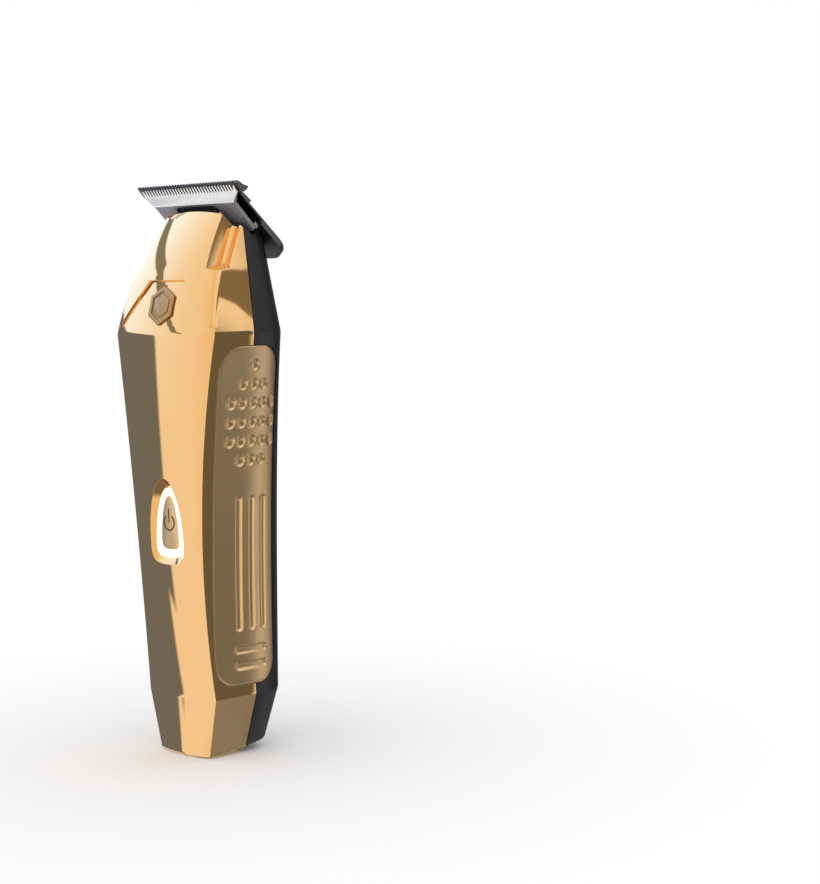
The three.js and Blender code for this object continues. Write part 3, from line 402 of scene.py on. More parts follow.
def half_section(dims, rise=0.0):
    """Points (x, y) of the right half of a section, from the middle of the front to that of the back."""
    seam, ridge, ridge_y, bulge, back = dims
    edge = ridge - HOOD["chamfer"] * rise
    across = np.sin(np.linspace(0, math.pi / 2, FRONT_STEPS)) * (1 - 0.4 * RIDGE_ROUND / ridge)
    front = np.stack([edge * across, ridge_y - rise - bulge * (1 - across**2)], axis=1)
    corner, seam_corner = np.array([ridge, ridge_y]), np.array([seam, 0.0])
    raised = np.array([edge, ridge_y - rise]) + (corner - (edge, ridge_y - rise)) * 0.3
    way = (seam_corner - corner) / np.linalg.norm(seam_corner - corner)
    side_start, side_end = corner + RIDGE_ROUND * way, seam_corner - SEAM_ROUND * way
    side = side_start + np.linspace(0, 1, SIDE_STEPS)[:, None] * (side_end - side_start)
    first = math.asin((SEAM_ROUND / back) ** 1.75)
    v = np.linspace(1, 0, BACK_STEPS) ** 1.6
    angle = math.pi / 2 - (math.pi / 2 - first) * v
    rear = np.stack([seam * np.cos(angle) ** (1 / 1.75), back * np.sin(angle) ** (1 / 1.75)], axis=1)
    rear[-1, 0] = 0
    return np.concatenate([
        front, curve_through(front[-1], np.array([edge, ridge_y - rise]), raised, 3),
        [raised], curve_through(raised, corner, side_start, 5),
        side, curve_through(side[-1], seam_corner, rear[0], 8), rear,
    ])


def section(dims, z, rise=0.0):
    """A closed loop round the housing, counter-clockwise from the middle of the front."""
    half = half_section(dims, rise)
    other = half[-2:0:-1] * (-1, 1)
    both = np.concatenate([half, other])
    return np.column_stack([both, np.full(len(both), float(z))])


def levels(low, high):
    """Heights for the housing's loft, close together at its creases and at the hood's lower edge."""
    coarse = np.arange(low, high + 0.01, 1.25)
    near = [crease + d for crease in (LOWER_CREASE, SHOULDER) for d in np.linspace(-0.9, 0.9, 13)]
    step = [HOOD["bottom"] + d for d in (-0.3, -0.125, -0.06, 0, 0.06, 0.125, 0.3)]
    heights = np.array([h for h in [*coarse, *near, *step] if low <= h <= high])
    heights = np.sort(heights)
    return heights[np.append(True, np.diff(heights) > 0.04)]


def inset(dims, depth):
    """A section's dimensions drawn in by a depth all round."""
    return dims - np.array([depth, depth * 1.15, -depth, 0, depth])


def housing_body(name, depth=0.0, low=-2.0, high=LENGTH - 2, raised=True):
    """The solid inside the housing's outer face, drawn in by a depth."""
    loops = []
    for z in levels(low, high):
        rise = hood_rise(z) if raised else 0.0
        loops.append(section(inset(soft_form(z), depth), z, rise))
    return loft(name, loops)


def foot_raised(loops, reach=LOWER_CREASE):
    """Shears the loops near the foot so that the lowest one lies in the foot's sloping face."""
    for loop in loops:
        share = 1 - min(max(loop[0, 2], 0), reach) / reach
        loop[:, 2] += share * FOOT_SLOPE * (loop[:, 1] - FRONT_Y)
    return loops


def outer_body(name):
    """The housing's whole outer form, with the foot's edge rounded."""
    heights = levels(1.3, LENGTH - 2)
    loops = [section(soft_form(z), z, hood_rise(z)) for z in heights]
    edge = []
    for k in range(6):
        angle = k / 5 * math.pi / 2
        drawn_in = 0.5 * (1 - math.sin(angle))
        z = 0.5 * (1 - math.cos(angle))
        edge.append(section(inset(soft_form(z), drawn_in), z))
    return loft(name, foot_raised([*edge, section(soft_form(0.9), 0.9), *loops]))


def seam_half(side):
    """Everything in front of the seam (side -1) or behind it (side 1)."""
    far = 60
    line = [(y + side * GAP / 2, z) for y, z in SEAM_LINE]
    outline = [*line, (side * far, line[-1][1]), (side * far, line[0][1])]
    return prism("half", "x", outline, -far, far)


def corner_pocket(side, extra=0.0):
    """One of the two notches at the head's top front corners, with a sloping floor and a round corner."""
    far, radius = 30, POCKET["round"]
    loops = []
    for z, x, y in ((POCKET["floor"] - extra, POCKET["x"], POCKET["y"]),
                    (POCKET["top"], POCKET["x_top"], POCKET["y_top"])):
        x, y = x - extra, y + extra
        start, corner, end = np.array([x, y - radius]), np.array([x, y]), np.array([x + radius, y])
        bend = curve_through(start, corner, end, 6)
        points = np.concatenate([[(x, -far), start], bend, [end, (far, y), (far, -far)]])
        outwards = (points[:, 0] - x) + (y - points[:, 1])
        fall = POCKET["fall"] * outwards if z < POCKET["top"] else 0 * outwards
        loops.append(np.column_stack([points * (side, 1), z + POCKET["lift"] - fall]))
    return loft("pocket", loops)


# From the blade's own frame (across, up, inwards) to the clipper's.
SLOPE = Matrix(((1, 0, 0, 0),
                (0, -ROOT_HALF, -ROOT_HALF, TIP_Y),
                (0, ROOT_HALF, -ROOT_HALF, TIP_Z),
                (0, 0, 0, 1)))


def slope_cut(start, end, inwards):
    """All that lies between two distances down the blade's slope, from outside to a distance inwards."""
    wide, outside = 40, -30
    outline = [(-wide, -end), (wide, -end), (wide, -start), (-wide, -start)]
    return baked(prism("box", "z", outline, outside, inwards), SLOPE)


# ---------------------------------------------------------------- shells

HOUSING_SCREWS = [f"housing_screw_{row}_{side}" for row in ("upper", "lower") for side in ("left", "right")]


def grip_outline(extra=0.0):
    """The right grip's outline seen from the side."""
    low, high = node_box("grip_right")
    width, height = high.y - low.y + 2 * extra, high.z - low.z + 2 * extra
    return rounded_rectangle((low.y + high.y) / 2, (low.z + high.z) / 2, width, height, 5.5 + extra, 12)


def grip_recess(side):
    """The pocket in the housing that a grip lies in."""
    recess = prism("recess", "x", grip_outline(GAP / 2), side * 4, side * 30)
    return combined(recess, housing_body("floor", 1.05, raised=False))


def chest_cut():
    """What the chest plate leaves open in front of it: a trapezoid whose walls slope outwards."""
    slope = (CHEST["bottom_half"] - CHEST["top_half"]) / (CHEST["top"] - HOOD["bottom"])
    loops = []
    for y, grow in ((-6, 0.0), (-12, 0.0), (-16.5, CHEST["flare"])):
        top, low = CHEST["top"] + grow, HOOD["bottom"] - 3
        top_half = CHEST["top_half"] + grow * 0.6
        low_half = top_half + slope * (top - low)
        loops.append(along("y", [(-low_half, low), (low_half, low), (top_half, top), (-top_half, top)], y))
    return combined(loft("chest", loops), housing_body("chest_floor", raised=False))


def button_dish():
    """The dish round the button, from its rim in the shell's face down to the light ring."""
    loops = []
    steps = ((-BUTTON_FACE - 0.2, 0.0), (DISH_EDGE - 0.45, 0.86), (DISH_EDGE, 1.0), (DISH_EDGE + 1.55, 1.25))
    for depth, share in steps:
        width = RING_SIZE[0] + 0.3 + share * (DISH_SIZE[0] - RING_SIZE[0])
        height = RING_SIZE[1] + 0.3 + share * (DISH_SIZE[1] - RING_SIZE[1])
        loops.append(along("y", egg(width, height), -depth))
    return loft("dish", loops)


def badge_matrix():
    """Places a piece drawn in X and Z on the sloping chest plate, with -Y outwards."""
    centre = node_centre("chest_badge")
    return Matrix.Translation(centre) @ Matrix.Rotation(math.radians(CHEST["tilt"]), 4, "X")


def pocket_rib(side):
    """The tapered rib in the inner corner of a head pocket."""
    angles = np.linspace(0, 2 * math.pi, 28, endpoint=False)
    loops = []
    for z, radius in ((POCKET["floor"] - 1, RIB["radius"]), (POCKET["top"], RIB["radius_top"])):
        share = (z - POCKET["floor"]) / (POCKET["top"] - POCKET["floor"])
        corner = POCKET["x"] + share * (POCKET["x_top"] - POCKET["x"])
        x = corner + RIB["across"] + share * (RIB["across_top"] - RIB["across"])
        y = POCKET["y"] + share * (POCKET["y_top"] - POCKET["y"])
        outline = [side * (x + radius * np.cos(angles)), y + RIB["depth"] * radius * np.sin(angles)]
        loops.append(along("z", np.stack(outline, axis=1), z))
    return loft("rib", loops)


def front_shell(outside):
    """The gold front half of the housing."""
    shell = copied(outside, "shell_front")
    combined(shell, chest_cut())
    for side in (-1, 1):
        combined(shell, corner_pocket(side))
        combined(shell, combined(pocket_rib(side), housing_body("trim", 0.05), "INTERSECT"), "UNION")
    cavity = housing_body("cavity", WALL, WALL + 2.5, LENGTH - 1, raised=False)
    for side in (-1, 1):
        combined(cavity, corner_pocket(side, POCKET["wall"]))
    combined(shell, cavity)
    combined(shell, seam_half(-1), "INTERSECT")
    combined(shell, slope_cut(-30, 60, HEAD_CUT))
    for side in (-1, 1):
        combined(shell, grip_recess(side))
    combined(shell, button_dish())
    combined(shell, prism("hole", "y", egg(RING_SIZE[0] + 0.4, RING_SIZE[1] + 0.4), -16, -6))
    combined(shell, baked(prism("badge", "y", hexagon(HEXAGON + GAP), -4, 0.35), badge_matrix()))
    return shell


def back_groove(side, k):
    """One slanting groove on the back."""
    outline = rounded_rectangle(0, 0, 9.2, 1.7, 0.84, 8)
    turn = side * -math.pi / 4
    spin = np.array([[math.cos(turn), -math.sin(turn)], [math.sin(turn), math.cos(turn)]])
    middle = np.array([side * (8.2 - 0.15 * k), 88 - 5.2 * k])
    return prism("groove", "y", outline @ spin.T + middle, 6, 20)


def inlet_outline(extra=0.0):
    """The micro-USB mouth: wide above, with cut lower corners."""
    centre = node_centre("inlet_shell").z
    half_top, half_low = 3.95 + extra, 2.7 + extra
    low, high = centre - 1.6 - extra, centre + 1.6 + extra
    right = [(half_low, low), (half_top, centre - 0.2), (half_top, high - 0.4), (half_top - 0.4, high)]
    return np.array([*right, *[(-a, b) for a, b in reversed(right)]])


def rear_shell(outside):
    """The black rear half of the housing."""
    shell = copied(outside, "shell_rear")
    combined(shell, housing_body("cavity", WALL, WALL + 2.5, LENGTH - 8, raised=False))
    combined(shell, seam_half(1), "INTERSECT")
    combined(shell, slope_cut(-30, SEAT_START, SHELL_CUT))
    combined(shell, slope_cut(SEAT_START - 1, 60, FIXED["thick"] + GAP))
    for side in (-1, 1):
        combined(shell, corner_pocket(side))
        combined(shell, grip_recess(side))
    for side in (-1, 1):
        for k in range(5):
            combined(shell, combined(back_groove(side, k), housing_body("floor", 0.5, raised=False)))
    for name in HOUSING_SCREWS:
        centre, depth = node_centre(name), node_box(name)[1].y - 1.3
        well = turned("well", [(1.9, 0), (1.9, 10)], 36)
        combined(shell, baked(well, Matrix.Translation((centre.x, depth, centre.z))))
    inlet_z = node_centre("inlet_shell").z
    combined(shell, prism("inlet", "y", rounded_rectangle(0, inlet_z, 10.9, 7, 0.8), 10.2, 20))
    combined(shell, prism("mouth", "y", inlet_outline(GAP), 4, 20))
    light = turned("light", [(0.85, 5), (0.85, 20)], 24)
    combined(shell, baked(light, Matrix.Translation((0, 0, node_centre("light_pipe").z))))
    badge = hexagon(HEXAGON + GAP, node_centre("rear_badge").z)
    combined(shell, prism("badge", "y", badge, node_box("rear_badge")[0].y - 0.1, 20))
    return shell


# ---------------------------------------------------------------- grips

GRIP_STEP = 0.22


def side_surface(y, z):
    """How far the housing's side stands out at depth y and height z."""
    seam, ridge, ridge_y, _, back = soft_form(z)
    total = 0
    offsets = np.linspace(-3.2, 3.2, 9)
    for offset in offsets:
        depth = y + offset
        ahead = seam + (seam - ridge) * depth / -ridge_y
        behind = seam * np.maximum(1 - np.abs(np.maximum(depth, 0) / back) ** 3.5, 0) ** (1 / 3.5)
        total = total + np.where(depth < 0, ahead, behind)
    return total / len(offsets)


def bowl(distance, radius, depth):
    """Depth of a round-bottomed hollow at a distance from its middle."""
    return depth * np.sqrt(np.maximum(1 - (distance / radius) ** 2, 0))


def segment_distance(y, z, a, b):
    """Distance of points (y, z) from the line between two points."""
    (ya, za), (yb, zb) = a, b
    length = (yb - ya) ** 2 + (zb - za) ** 2
    t = np.clip(((y - ya) * (yb - ya) + (z - za) * (zb - za)) / length, 0, 1)
    return np.hypot(y - ya - t * (yb - ya), z - za - t * (zb - za))


def grip_hollows(y, z):
    """Depth of the dimples, long grooves and short bars in a grip."""
    depth = np.zeros_like(y)
    for row, count in enumerate([1, 3, 5, 5, 5, 3]):
        for k in range(count):
            centre = (-0.6 + (k - (count - 1) / 2) * 3, 95.8 - row * 4.6)
            depth = np.maximum(depth, bowl(np.hypot(y - centre[0], z - centre[1]), 1.36, 0.5))
    for column in (-1, 0, 1):
        middle = -0.2 + column * 3.55
        away = segment_distance(y, z, (middle, 32), (middle, 63))
        depth = np.maximum(depth, bowl(away, 1.02, 0.6))
    for level in (26.4, 22.5):
        away = segment_distance(y, z, (-4.2, level), (3.2, level))
        depth = np.maximum(depth, bowl(away, 1.02, 0.55))
    return depth


def inside_outline(y, z, radius=5.5):
    """Distance from points inside a grip to its rounded outline."""
    low, high = node_box("grip_right")
    dy = np.abs(y - (low.y + high.y) / 2) - (high.y - low.y) / 2 + radius
    dz = np.abs(z - (low.z + high.z) / 2) - (high.z - low.z) / 2 + radius
    outside = np.hypot(np.maximum(dy, 0), np.maximum(dz, 0)) + np.minimum(np.maximum(dy, dz), 0)
    return radius - outside


def grip(side):
    """A side grip: a crowned pad with dimples and grooves, set into the housing."""
    low, high = node_box("grip_right")
    ys = np.linspace(low.y - 0.5, high.y + 0.5, int((high.y - low.y) / GRIP_STEP))
    zs = np.linspace(low.z - 0.5, high.z + 0.5, int((high.z - low.z) / GRIP_STEP))
    z, y = np.meshgrid(zs, ys, indexing="ij")
    surface = side_surface(y, z)
    edge = np.clip(inside_outline(y, z) / 0.9, 0, 1)
    across = np.clip((y - low.y) / (high.y - low.y), 0, 1)
    proud = 0.1 + 0.16 * across
    rounding = np.sqrt(1 - (1 - edge) ** 2)
    outer = surface - 0.05 + (proud + 0.05) * rounding - grip_hollows(y, z)
    inner = surface - 0.95
    rows, columns = y.shape
    front = np.stack([outer, y, z], axis=-1).reshape(-1, 3)
    back = np.stack([inner, y, z], axis=-1).reshape(-1, 3)
    faces = [tuple(reversed(face)) for face in grid_faces(rows, columns, ring=False)]
    count = rows * columns
    faces += [tuple(count + k for k in reversed(face)) for face in faces]
    rim = [*range(columns), *range(2 * columns - 1, count, columns)]
    rim += [*range(count - 2, count - columns - 1, -1), *range(count - 2 * columns, 0, -columns)]
    for k, point in enumerate(rim):
        following = rim[(k + 1) % len(rim)]
        faces.append((point, following, count + following, count + point))
    points = np.concatenate([front, back])
    pad = face_outwards(new_object("grip", points, faces))
    combined(pad, prism("outline", "x", grip_outline(), 4, 30), "INTERSECT")
    if side < 0:
        baked(pad, Matrix.Scale(-1, 4, (1, 0, 0)))
    return pad


# ---------------------------------------------------------------- button


def light_ring():
    """The white ring round the button, with a rounded face."""
    outer = np.array(RING_SIZE)
    inner = np.array(BUTTON_SIZE) + 0.5
    back, corner, crown = RING_Y + 2.6, 0.25, 0.35
    profile = [(0, back), (0, RING_Y)]
    profile += [(corner - corner * math.cos(a), RING_Y - crown * math.sin(a))
                for a in np.linspace(0.3, 1.57, 5)]
    profile += [(1 - corner + corner * math.sin(a), RING_Y - crown * math.cos(a))
                for a in np.linspace(0, 1.3, 5)]
    profile += [(1, RING_Y), (1, back)]
    sizes = [(outer + share * (inner - outer), y) for share, y in profile]
    return ring_body("ring", [along("y", egg(*size, steps=32), y) for size, y in sizes])


def power_button():
    """The button's cap: an egg with a rounded edge and a slightly crowned face."""
    edge, crown = 0.4, 0.1
    steps = [(0, 1, 3.4), (0, 1, edge)]
    steps += [(edge * (1 - math.cos(angle)), 1, edge - (edge - crown) * math.sin(angle))
              for angle in np.linspace(0.3, math.pi / 2, 5)]
    steps += [(edge, share, crown * share**2) for share in (0.75, 0.5, 0.25)]
    loops = []
    for drawn_in, share, behind in steps:
        size = [(side - 2 * drawn_in) * share for side in BUTTON_SIZE]
        loops.append(along("y", egg(*size, steps=32), BUTTON_FACE + behind))
    return crowned("cap", loops, (0, BUTTON_FACE, BUTTON_Z))


def power_icon():
    """The generic on-off sign: an open circle with a bar, inlaid in the button."""
    radius, half = ICON["radius"], ICON["stroke"] / 2
    start, end = 90 + ICON["opening"], 450 - ICON["opening"]
    outer = arc(0, BUTTON_Z, radius + half, start, end, 48)
    inner = arc(0, BUTTON_Z, radius - half, start, end, 48)
    depths = BUTTON_FACE - 0.03, BUTTON_FACE + ICON["depth"]
    circle = prism("icon", "y", outer + inner[::-1], *depths)
    bar = rounded_rectangle(0, BUTTON_Z + 1.75, 2 * half, ICON["bar"], 0.9 * half, 4)
    return combined(circle, prism("bar", "y", bar, *depths), "UNION")


# ---------------------------------------------------------------- blades, drawn in the blade's own frame


def tooth_row(count, top, depth):
    """A comb edge from right to left: (x, up) points of teeth that end at the line up = top."""
    points = []
    start = (count - 1) / 2 * TOOTH["pitch"]
    for k in range(count):
        x = start - k * TOOTH["pitch"]
        half = [(TOOTH["root"], top - depth), (TOOTH["flank"], top - depth + 0.25), (TOOTH["tip"], top)]
        points += [(x + out, up) for out, up in half]
        points += [(x - out, up) for out, up in reversed(half)]
    return points


def both_sides(right):
    """Points down the left side that mirror those up the right side."""
    return [(-x, y) for x, y in reversed(right)]


def fixed_blade():
    """The fixed blade: a T-shaped plate whose toothed part is ground to a wedge with a step behind it."""
    half, neck, foot = FIXED["half"], FIXED["neck"], FIXED["foot"]
    low, step, proud, relief = -FIXED["length"], -FIXED["step"], -FIXED["proud"], FIXED["relief"]
    right = arc(foot - 5, low + 5, 5, -90, 3)
    right += [(neck + 0.05, step - 0.6), (neck, -5.2)]
    right += arc(neck + 0.8, -5.2, 0.8, 180, 100, 6)
    right += [(half - 2, -4), *arc(half - 0.7, -3.1, 0.7, -80, 0, 6)]
    right += [*arc(half - 0.5, -0.5, 0.5, 0, 80, 5), (half - 1.15, 0), (half - 1.3, -TOOTH["fixed_depth"])]
    outline = right + tooth_row(TOOTH["fixed"], 0, TOOTH["fixed_depth"]) + both_sides(right)
    plate = prism("plate", "z", outline, proud - 0.1, FIXED["thick"])
    ground = [(3, -6), (3, 1.1), (0, 1.1), (-1.9, 0.6), (-3.2, -0.2), (step, proud), (step, 0)]
    combined(plate, prism("ground", "x", [*ground, (-60, 0), (-60, -6)], -40, 40))
    hollow = [(-3.4, 5), (-3.4, 0.9), (-4.2, relief), (-13.5, relief), (-14.2, 1.0), (-14.2, 5)]
    combined(plate, prism("hollow", "x", hollow, -40, 40))
    for side in (-1, 1):
        hole = arc(side * BLADE_SCREW["across"], -BLADE_SCREW["down"], BLADE_SCREW["hole"], 0, 350, 36)
        combined(plate, prism("hole", "z", hole, -3, 5))
    return baked(rounded(plate, 0.07, 30, 1), SLOPE)


def moving_blade():
    """The moving blade: fine teeth, a ground wedge, and two hooked legs either side of an open mouth."""
    half, back, length, mouth = MOVING["half"], MOVING["back"], MOVING["length"], MOVING["mouth"]
    near, far, ground = MOVING["near"], MOVING["far"], -MOVING["ground"]
    contact, edge = FIXED["thick"] + GAP, -MOVING["edge"]
    right = [(mouth, -length), (back - 0.5, -length), (back, -length + 0.5), (back, -6.2)]
    right += bezier([(back, -6.2), (back, -5.0), (back + 0.9, -4.2), (half - 0.9, -3.8)], 8)[1:].tolist()
    right += [(half, -2.9), (half, edge - 0.2), (half - 0.3, edge - 0.2)]
    lip = [(-7.7, -7.4), *bezier([(-7.5, -6.7), (-7.2, -5.9), (-6.6, -5.6), (-5.6, -5.6)], 6)]
    outline = right + tooth_row(TOOTH["moving"], edge, TOOTH["moving_depth"]) + both_sides(right)
    outline += lip + both_sides(lip)
    blank = prism("blank", "z", outline, contact, far)
    wedge = [(0.5, contact), (0.5, contact + 0.1), (edge, contact + 0.12),
             (-2.5, contact + 0.42), (ground, far)]
    wedge += [(-length - 1, far), (-length - 1, near), (ground - 0.4, near), (ground - 0.2, contact)]
    combined(blank, prism("wedge", "x", wedge, -30, 30), "INTERSECT")
    inner, outer = back - 0.75, back + 0.15
    hook = [(inner, -length), (outer, -length), (outer, -length + 1.5), (inner, -length + 1.1)]
    for side in (-1, 1):
        placed = [(side * x, up) for x, up in hook]
        combined(blank, prism("hook", "z", placed, near - 0.8, near + 0.2), "UNION")
    return baked(rounded(blank, 0.06, 30, 1), SLOPE)


def blade_screw(side):
    """A blade screw's wide domed head with a cross recess, and its shank."""
    rim, dome = 3.15, -0.65
    profile = [(0.02, 6), (0.6, 6), (1.1, 5.4), (1.1, -0.1), (rim, -0.1), (rim + 0.05, -0.35), (rim, dome)]
    profile += [(rim * math.cos(a), dome - 1.2 * math.sin(a)) for a in np.linspace(0.15, 1.5, 9)]
    screw = turned("screw", profile, 56)
    combined(screw, cross_recess(3.9, 0.85, 1.2, -2.3))
    baked(rounded(screw, 0.05, 40, 1), Matrix.Rotation(math.pi / 2, 4, "X"))
    place = (side * BLADE_SCREW["across"], -BLADE_SCREW["down"], -0.1)
    return baked(screw, SLOPE @ Matrix.Translation(place))


def cross_recess(length, width, depth, top):
    """A tapering cross that cuts a driver recess downwards (+Y) from y = top."""
    bars = []
    for turn in (0, math.pi / 2):
        loops = []
        for y, share in ((top, 1.0), (top + 0.75, 0.92), (top + 0.75 + depth, 0.45)):
            bar = rounded_rectangle(0, 0, length * share, width * (0.6 + 0.4 * share), width * 0.2, 3)
            loops.append(along("y", bar, y))
        bars.append(baked(loft("bar", loops), Matrix.Rotation(turn, 4, "Y")))
    return combined(bars[0], bars[1], "UNION")


def housing_screw(name):
    """A small pan-head housing screw, head towards the back."""
    centre, top = node_centre(name), node_box(name)[1].y
    rim, dome = 1.5, 0.5
    profile = [(0.02, 9), (0.6, 9), (0.9, 8.4), (0.9, 1.2), (rim, 1.2), (rim + 0.05, 0.95), (rim, dome)]
    profile += [(rim * math.cos(a), dome - 0.45 * math.sin(a)) for a in np.linspace(0.2, 1.45, 6)]
    screw = turned("screw", profile, 36)
    combined(screw, cross_recess(1.9, 0.42, 0.7, -0.4))
    rounded(screw, 0.03, 40, 1)
    half_turn = Matrix.Rotation(math.pi, 4, "Z")
    return baked(screw, Matrix.Translation((centre.x, top, centre.z)) @ half_turn)


def inlet_shell():
    """The micro-USB socket's pressed metal shell, flared at its mouth."""
    outside = [(0, 4.7), (0, 9.6), (0.12, 10.2), (0.28, 10.55)]
    inside = [(0.12, 10.6), (-0.25, 10.3), (-0.4, 9.8), (-0.4, 4.7)]
    return ring_body("inlet", [along("y", inlet_outline(extra), y) for extra, y in outside + inside])


def rear_badge():
    """A plain hexagonal badge let into the back."""
    low, high = node_box("rear_badge")
    plate = prism("badge", "y", hexagon(HEXAGON, node_centre("rear_badge").z), low.y, high.y)
    return rounded(plate, 0.25, 40, 3)


def chest_badge():
    """A plain hexagonal badge on the chest plate: a frame round a raised centre."""
    plate = rounded(prism("badge", "y", hexagon(HEXAGON), -0.3, 0.3), 0.18, 40, 3)
    combined(plate, prism("channel", "y", hexagon(HEXAGON - 2), -2, -0.05))
    centre = rounded(prism("centre", "y", hexagon(HEXAGON - 3.2), -0.28, 0.1), 0.16, 40, 3)
    return baked(combined(plate, centre, "UNION"), badge_matrix())


# ---------------------------------------------------------------- materials

PATCH_SCALE = 90
GRAIN_HEIGHT = 0.0001
PLATE_GREY = (0.24, 0.23, 0.26)
METAL = {"metallic": 1.0, "bump": 0.05}
GROUND = {"metallic": 0.9, "grain": 1500, "stretch": (1, 14, 14)}

# Each finish has its dark and its light tone, its lowest and highest roughness, and what else it needs.
FINISHES = {
    "gold_chrome": [(0.89, 0.54, 0.235), (0.92, 0.565, 0.255), (0.012, 0.03),
                    {"metallic": 1.0, "bump": 0.002, "edge": 0.12}],
    "tan_satin": [(0.78, 0.53, 0.28), (0.83, 0.57, 0.31), (0.29, 0.34),
                  {"metallic": 1.0, "grain": 5000, "bump": 0.01}],
    "black_satin": [(0.006, 0.006, 0.007), (0.011, 0.011, 0.012), (0.24, 0.32),
                    {"grain": 4000, "bump": 0.03, "edge": 0.15}],
    "black_plastic": [(0.02, 0.02, 0.022), (0.035, 0.035, 0.037), (0.4, 0.5), {"grain": 4000, "bump": 0.05}],
    "dark_steel": [(0.13, 0.13, 0.14), (0.19, 0.19, 0.2), (0.3, 0.42),
                   {**GROUND, "metallic": 1.0, "bump": 0.06, "edge": 0.06}],
    "zinc_steel": [(0.6, 0.6, 0.61), (0.72, 0.72, 0.73), (0.22, 0.32), {**METAL, "stretch": (1, 1, 12)}],
    "screw_steel": [(0.3, 0.3, 0.31), (0.38, 0.38, 0.39), (0.28, 0.38), METAL],
    "brass": [(0.66, 0.5, 0.24), (0.76, 0.6, 0.32), (0.22, 0.32), METAL],
    "bronze": [(0.42, 0.26, 0.115), (0.52, 0.33, 0.15), (0.3, 0.38),
               {"metallic": 1.0, "grain": 3000, "bump": 0.04}],
    "copper": [(0.5, 0.22, 0.1), (0.68, 0.36, 0.2), (0.25, 0.38),
               {"metallic": 1.0, "grain": 1800, "stretch": (1, 1, 10), "bump": 0.2}],
    "board_green": [(0.02, 0.16, 0.06), (0.05, 0.24, 0.1), (0.25, 0.35), {"bump": 0.05, "coat": 0.3}],
    "cell_blue": [(0.06, 0.2, 0.45), (0.1, 0.28, 0.52), (0.22, 0.32), {"bump": 0.04, "coat": 0.2}],
    "rubber": [(0.05, 0.05, 0.055), (0.09, 0.09, 0.095), (0.7, 0.85), {"bump": 0.4}],
    "ferrite": [(0.08, 0.08, 0.09), (0.14, 0.14, 0.15), (0.5, 0.62), {"bump": 0.2}],
    "red_wire": [(0.5, 0.03, 0.03), (0.62, 0.07, 0.07), (0.3, 0.4), {"bump": 0.05}],
    "black_wire": [(0.025, 0.025, 0.03), (0.045, 0.045, 0.05), (0.3, 0.4), {"bump": 0.05}],
    "smoked": [(0.10, 0.10, 0.10), (0.16, 0.16, 0.16), (0.15, 0.25), {}],
    "icon_ink": [(0.035, 0.022, 0.012), (0.05, 0.032, 0.018), (0.35, 0.45), {"bump": 0.03}],
}


def link_noise(nodes, links, scale, detail=3.0, stretch=(1, 1, 1)):
    """A noise texture in object space, optionally stretched along an axis."""
    place = nodes.new("ShaderNodeTexCoord")
    mapping = nodes.new("ShaderNodeMapping")
    mapping.inputs["Scale"].default_value = stretch
    noise = nodes.new("ShaderNodeTexNoise")
    noise.inputs["Scale"].default_value = scale
    noise.inputs["Detail"].default_value = detail
    links.new(place.outputs["Object"], mapping.inputs["Vector"])
    links.new(mapping.outputs["Vector"], noise.inputs["Vector"])
    return noise


def maths(nodes, links, operation, first, second=None):
    """A maths node on one or two links or numbers."""
    node = nodes.new("ShaderNodeMath")
    node.operation = operation
    for socket, value in zip(node.inputs, (first, second)):
        if isinstance(value, bpy.types.NodeSocket):
            links.new(value, socket)
        elif value is not None:
            socket.default_value = value
    return node.outputs[0]


def ranged(nodes, links, value, low, high, start=0.3, end=0.7):
    """Spreads a 0..1 texture value between two numbers."""
    spread = nodes.new("ShaderNodeMapRange")
    spread.inputs["From Min"].default_value = start
    spread.inputs["From Max"].default_value = end
    spread.inputs["To Min"].default_value = low
    spread.inputs["To Max"].default_value = high
    links.new(value, spread.inputs["Value"])
    return spread.outputs["Result"]


def colour_mix(nodes, dark, light):
    """A node that mixes two colours by its Factor."""
    mix = nodes.new("ShaderNodeMix")
    mix.data_type = "RGBA"
    mix.inputs["A"].default_value = (*dark, 1)
    mix.inputs["B"].default_value = (*light, 1)
    return mix


def material(name, dark, light, rough, metallic=0.0, grain=2500, bump=0.02,
             stretch=(1, 1, 1), edge=0.0, coat=0.0):
    """A surface that drifts between two tones, with varied roughness, a fine grain and rounded edges."""
    surface = bpy.data.materials.new(name)
    surface.use_nodes = True
    nodes, links = surface.node_tree.nodes, surface.node_tree.links
    shader = nodes["Principled BSDF"]
    shader.inputs["Metallic"].default_value = metallic
    shader.inputs["Coat Weight"].default_value = coat
    shader.inputs["Coat Roughness"].default_value = 0.1
    tone = colour_mix(nodes, dark, light)
    links.new(link_noise(nodes, links, PATCH_SCALE).outputs["Fac"], tone.inputs["Factor"])
    links.new(tone.outputs["Result"], shader.inputs["Base Color"])
    fine = link_noise(nodes, links, grain, 4.0, stretch)
    links.new(ranged(nodes, links, fine.outputs["Fac"], *rough), shader.inputs["Roughness"])
    relief = nodes.new("ShaderNodeBump")
    relief.inputs["Strength"].default_value = bump
    relief.inputs["Distance"].default_value = GRAIN_HEIGHT
    links.new(fine.outputs["Fac"], relief.inputs["Height"])
    links.new(relief.outputs["Normal"], shader.inputs["Normal"])
    if edge:
        soft = nodes.new("ShaderNodeBevel")
        soft.inputs["Radius"].default_value = edge * MM
        soft.samples = 6
        links.new(soft.outputs["Normal"], relief.inputs["Normal"])
    return surface


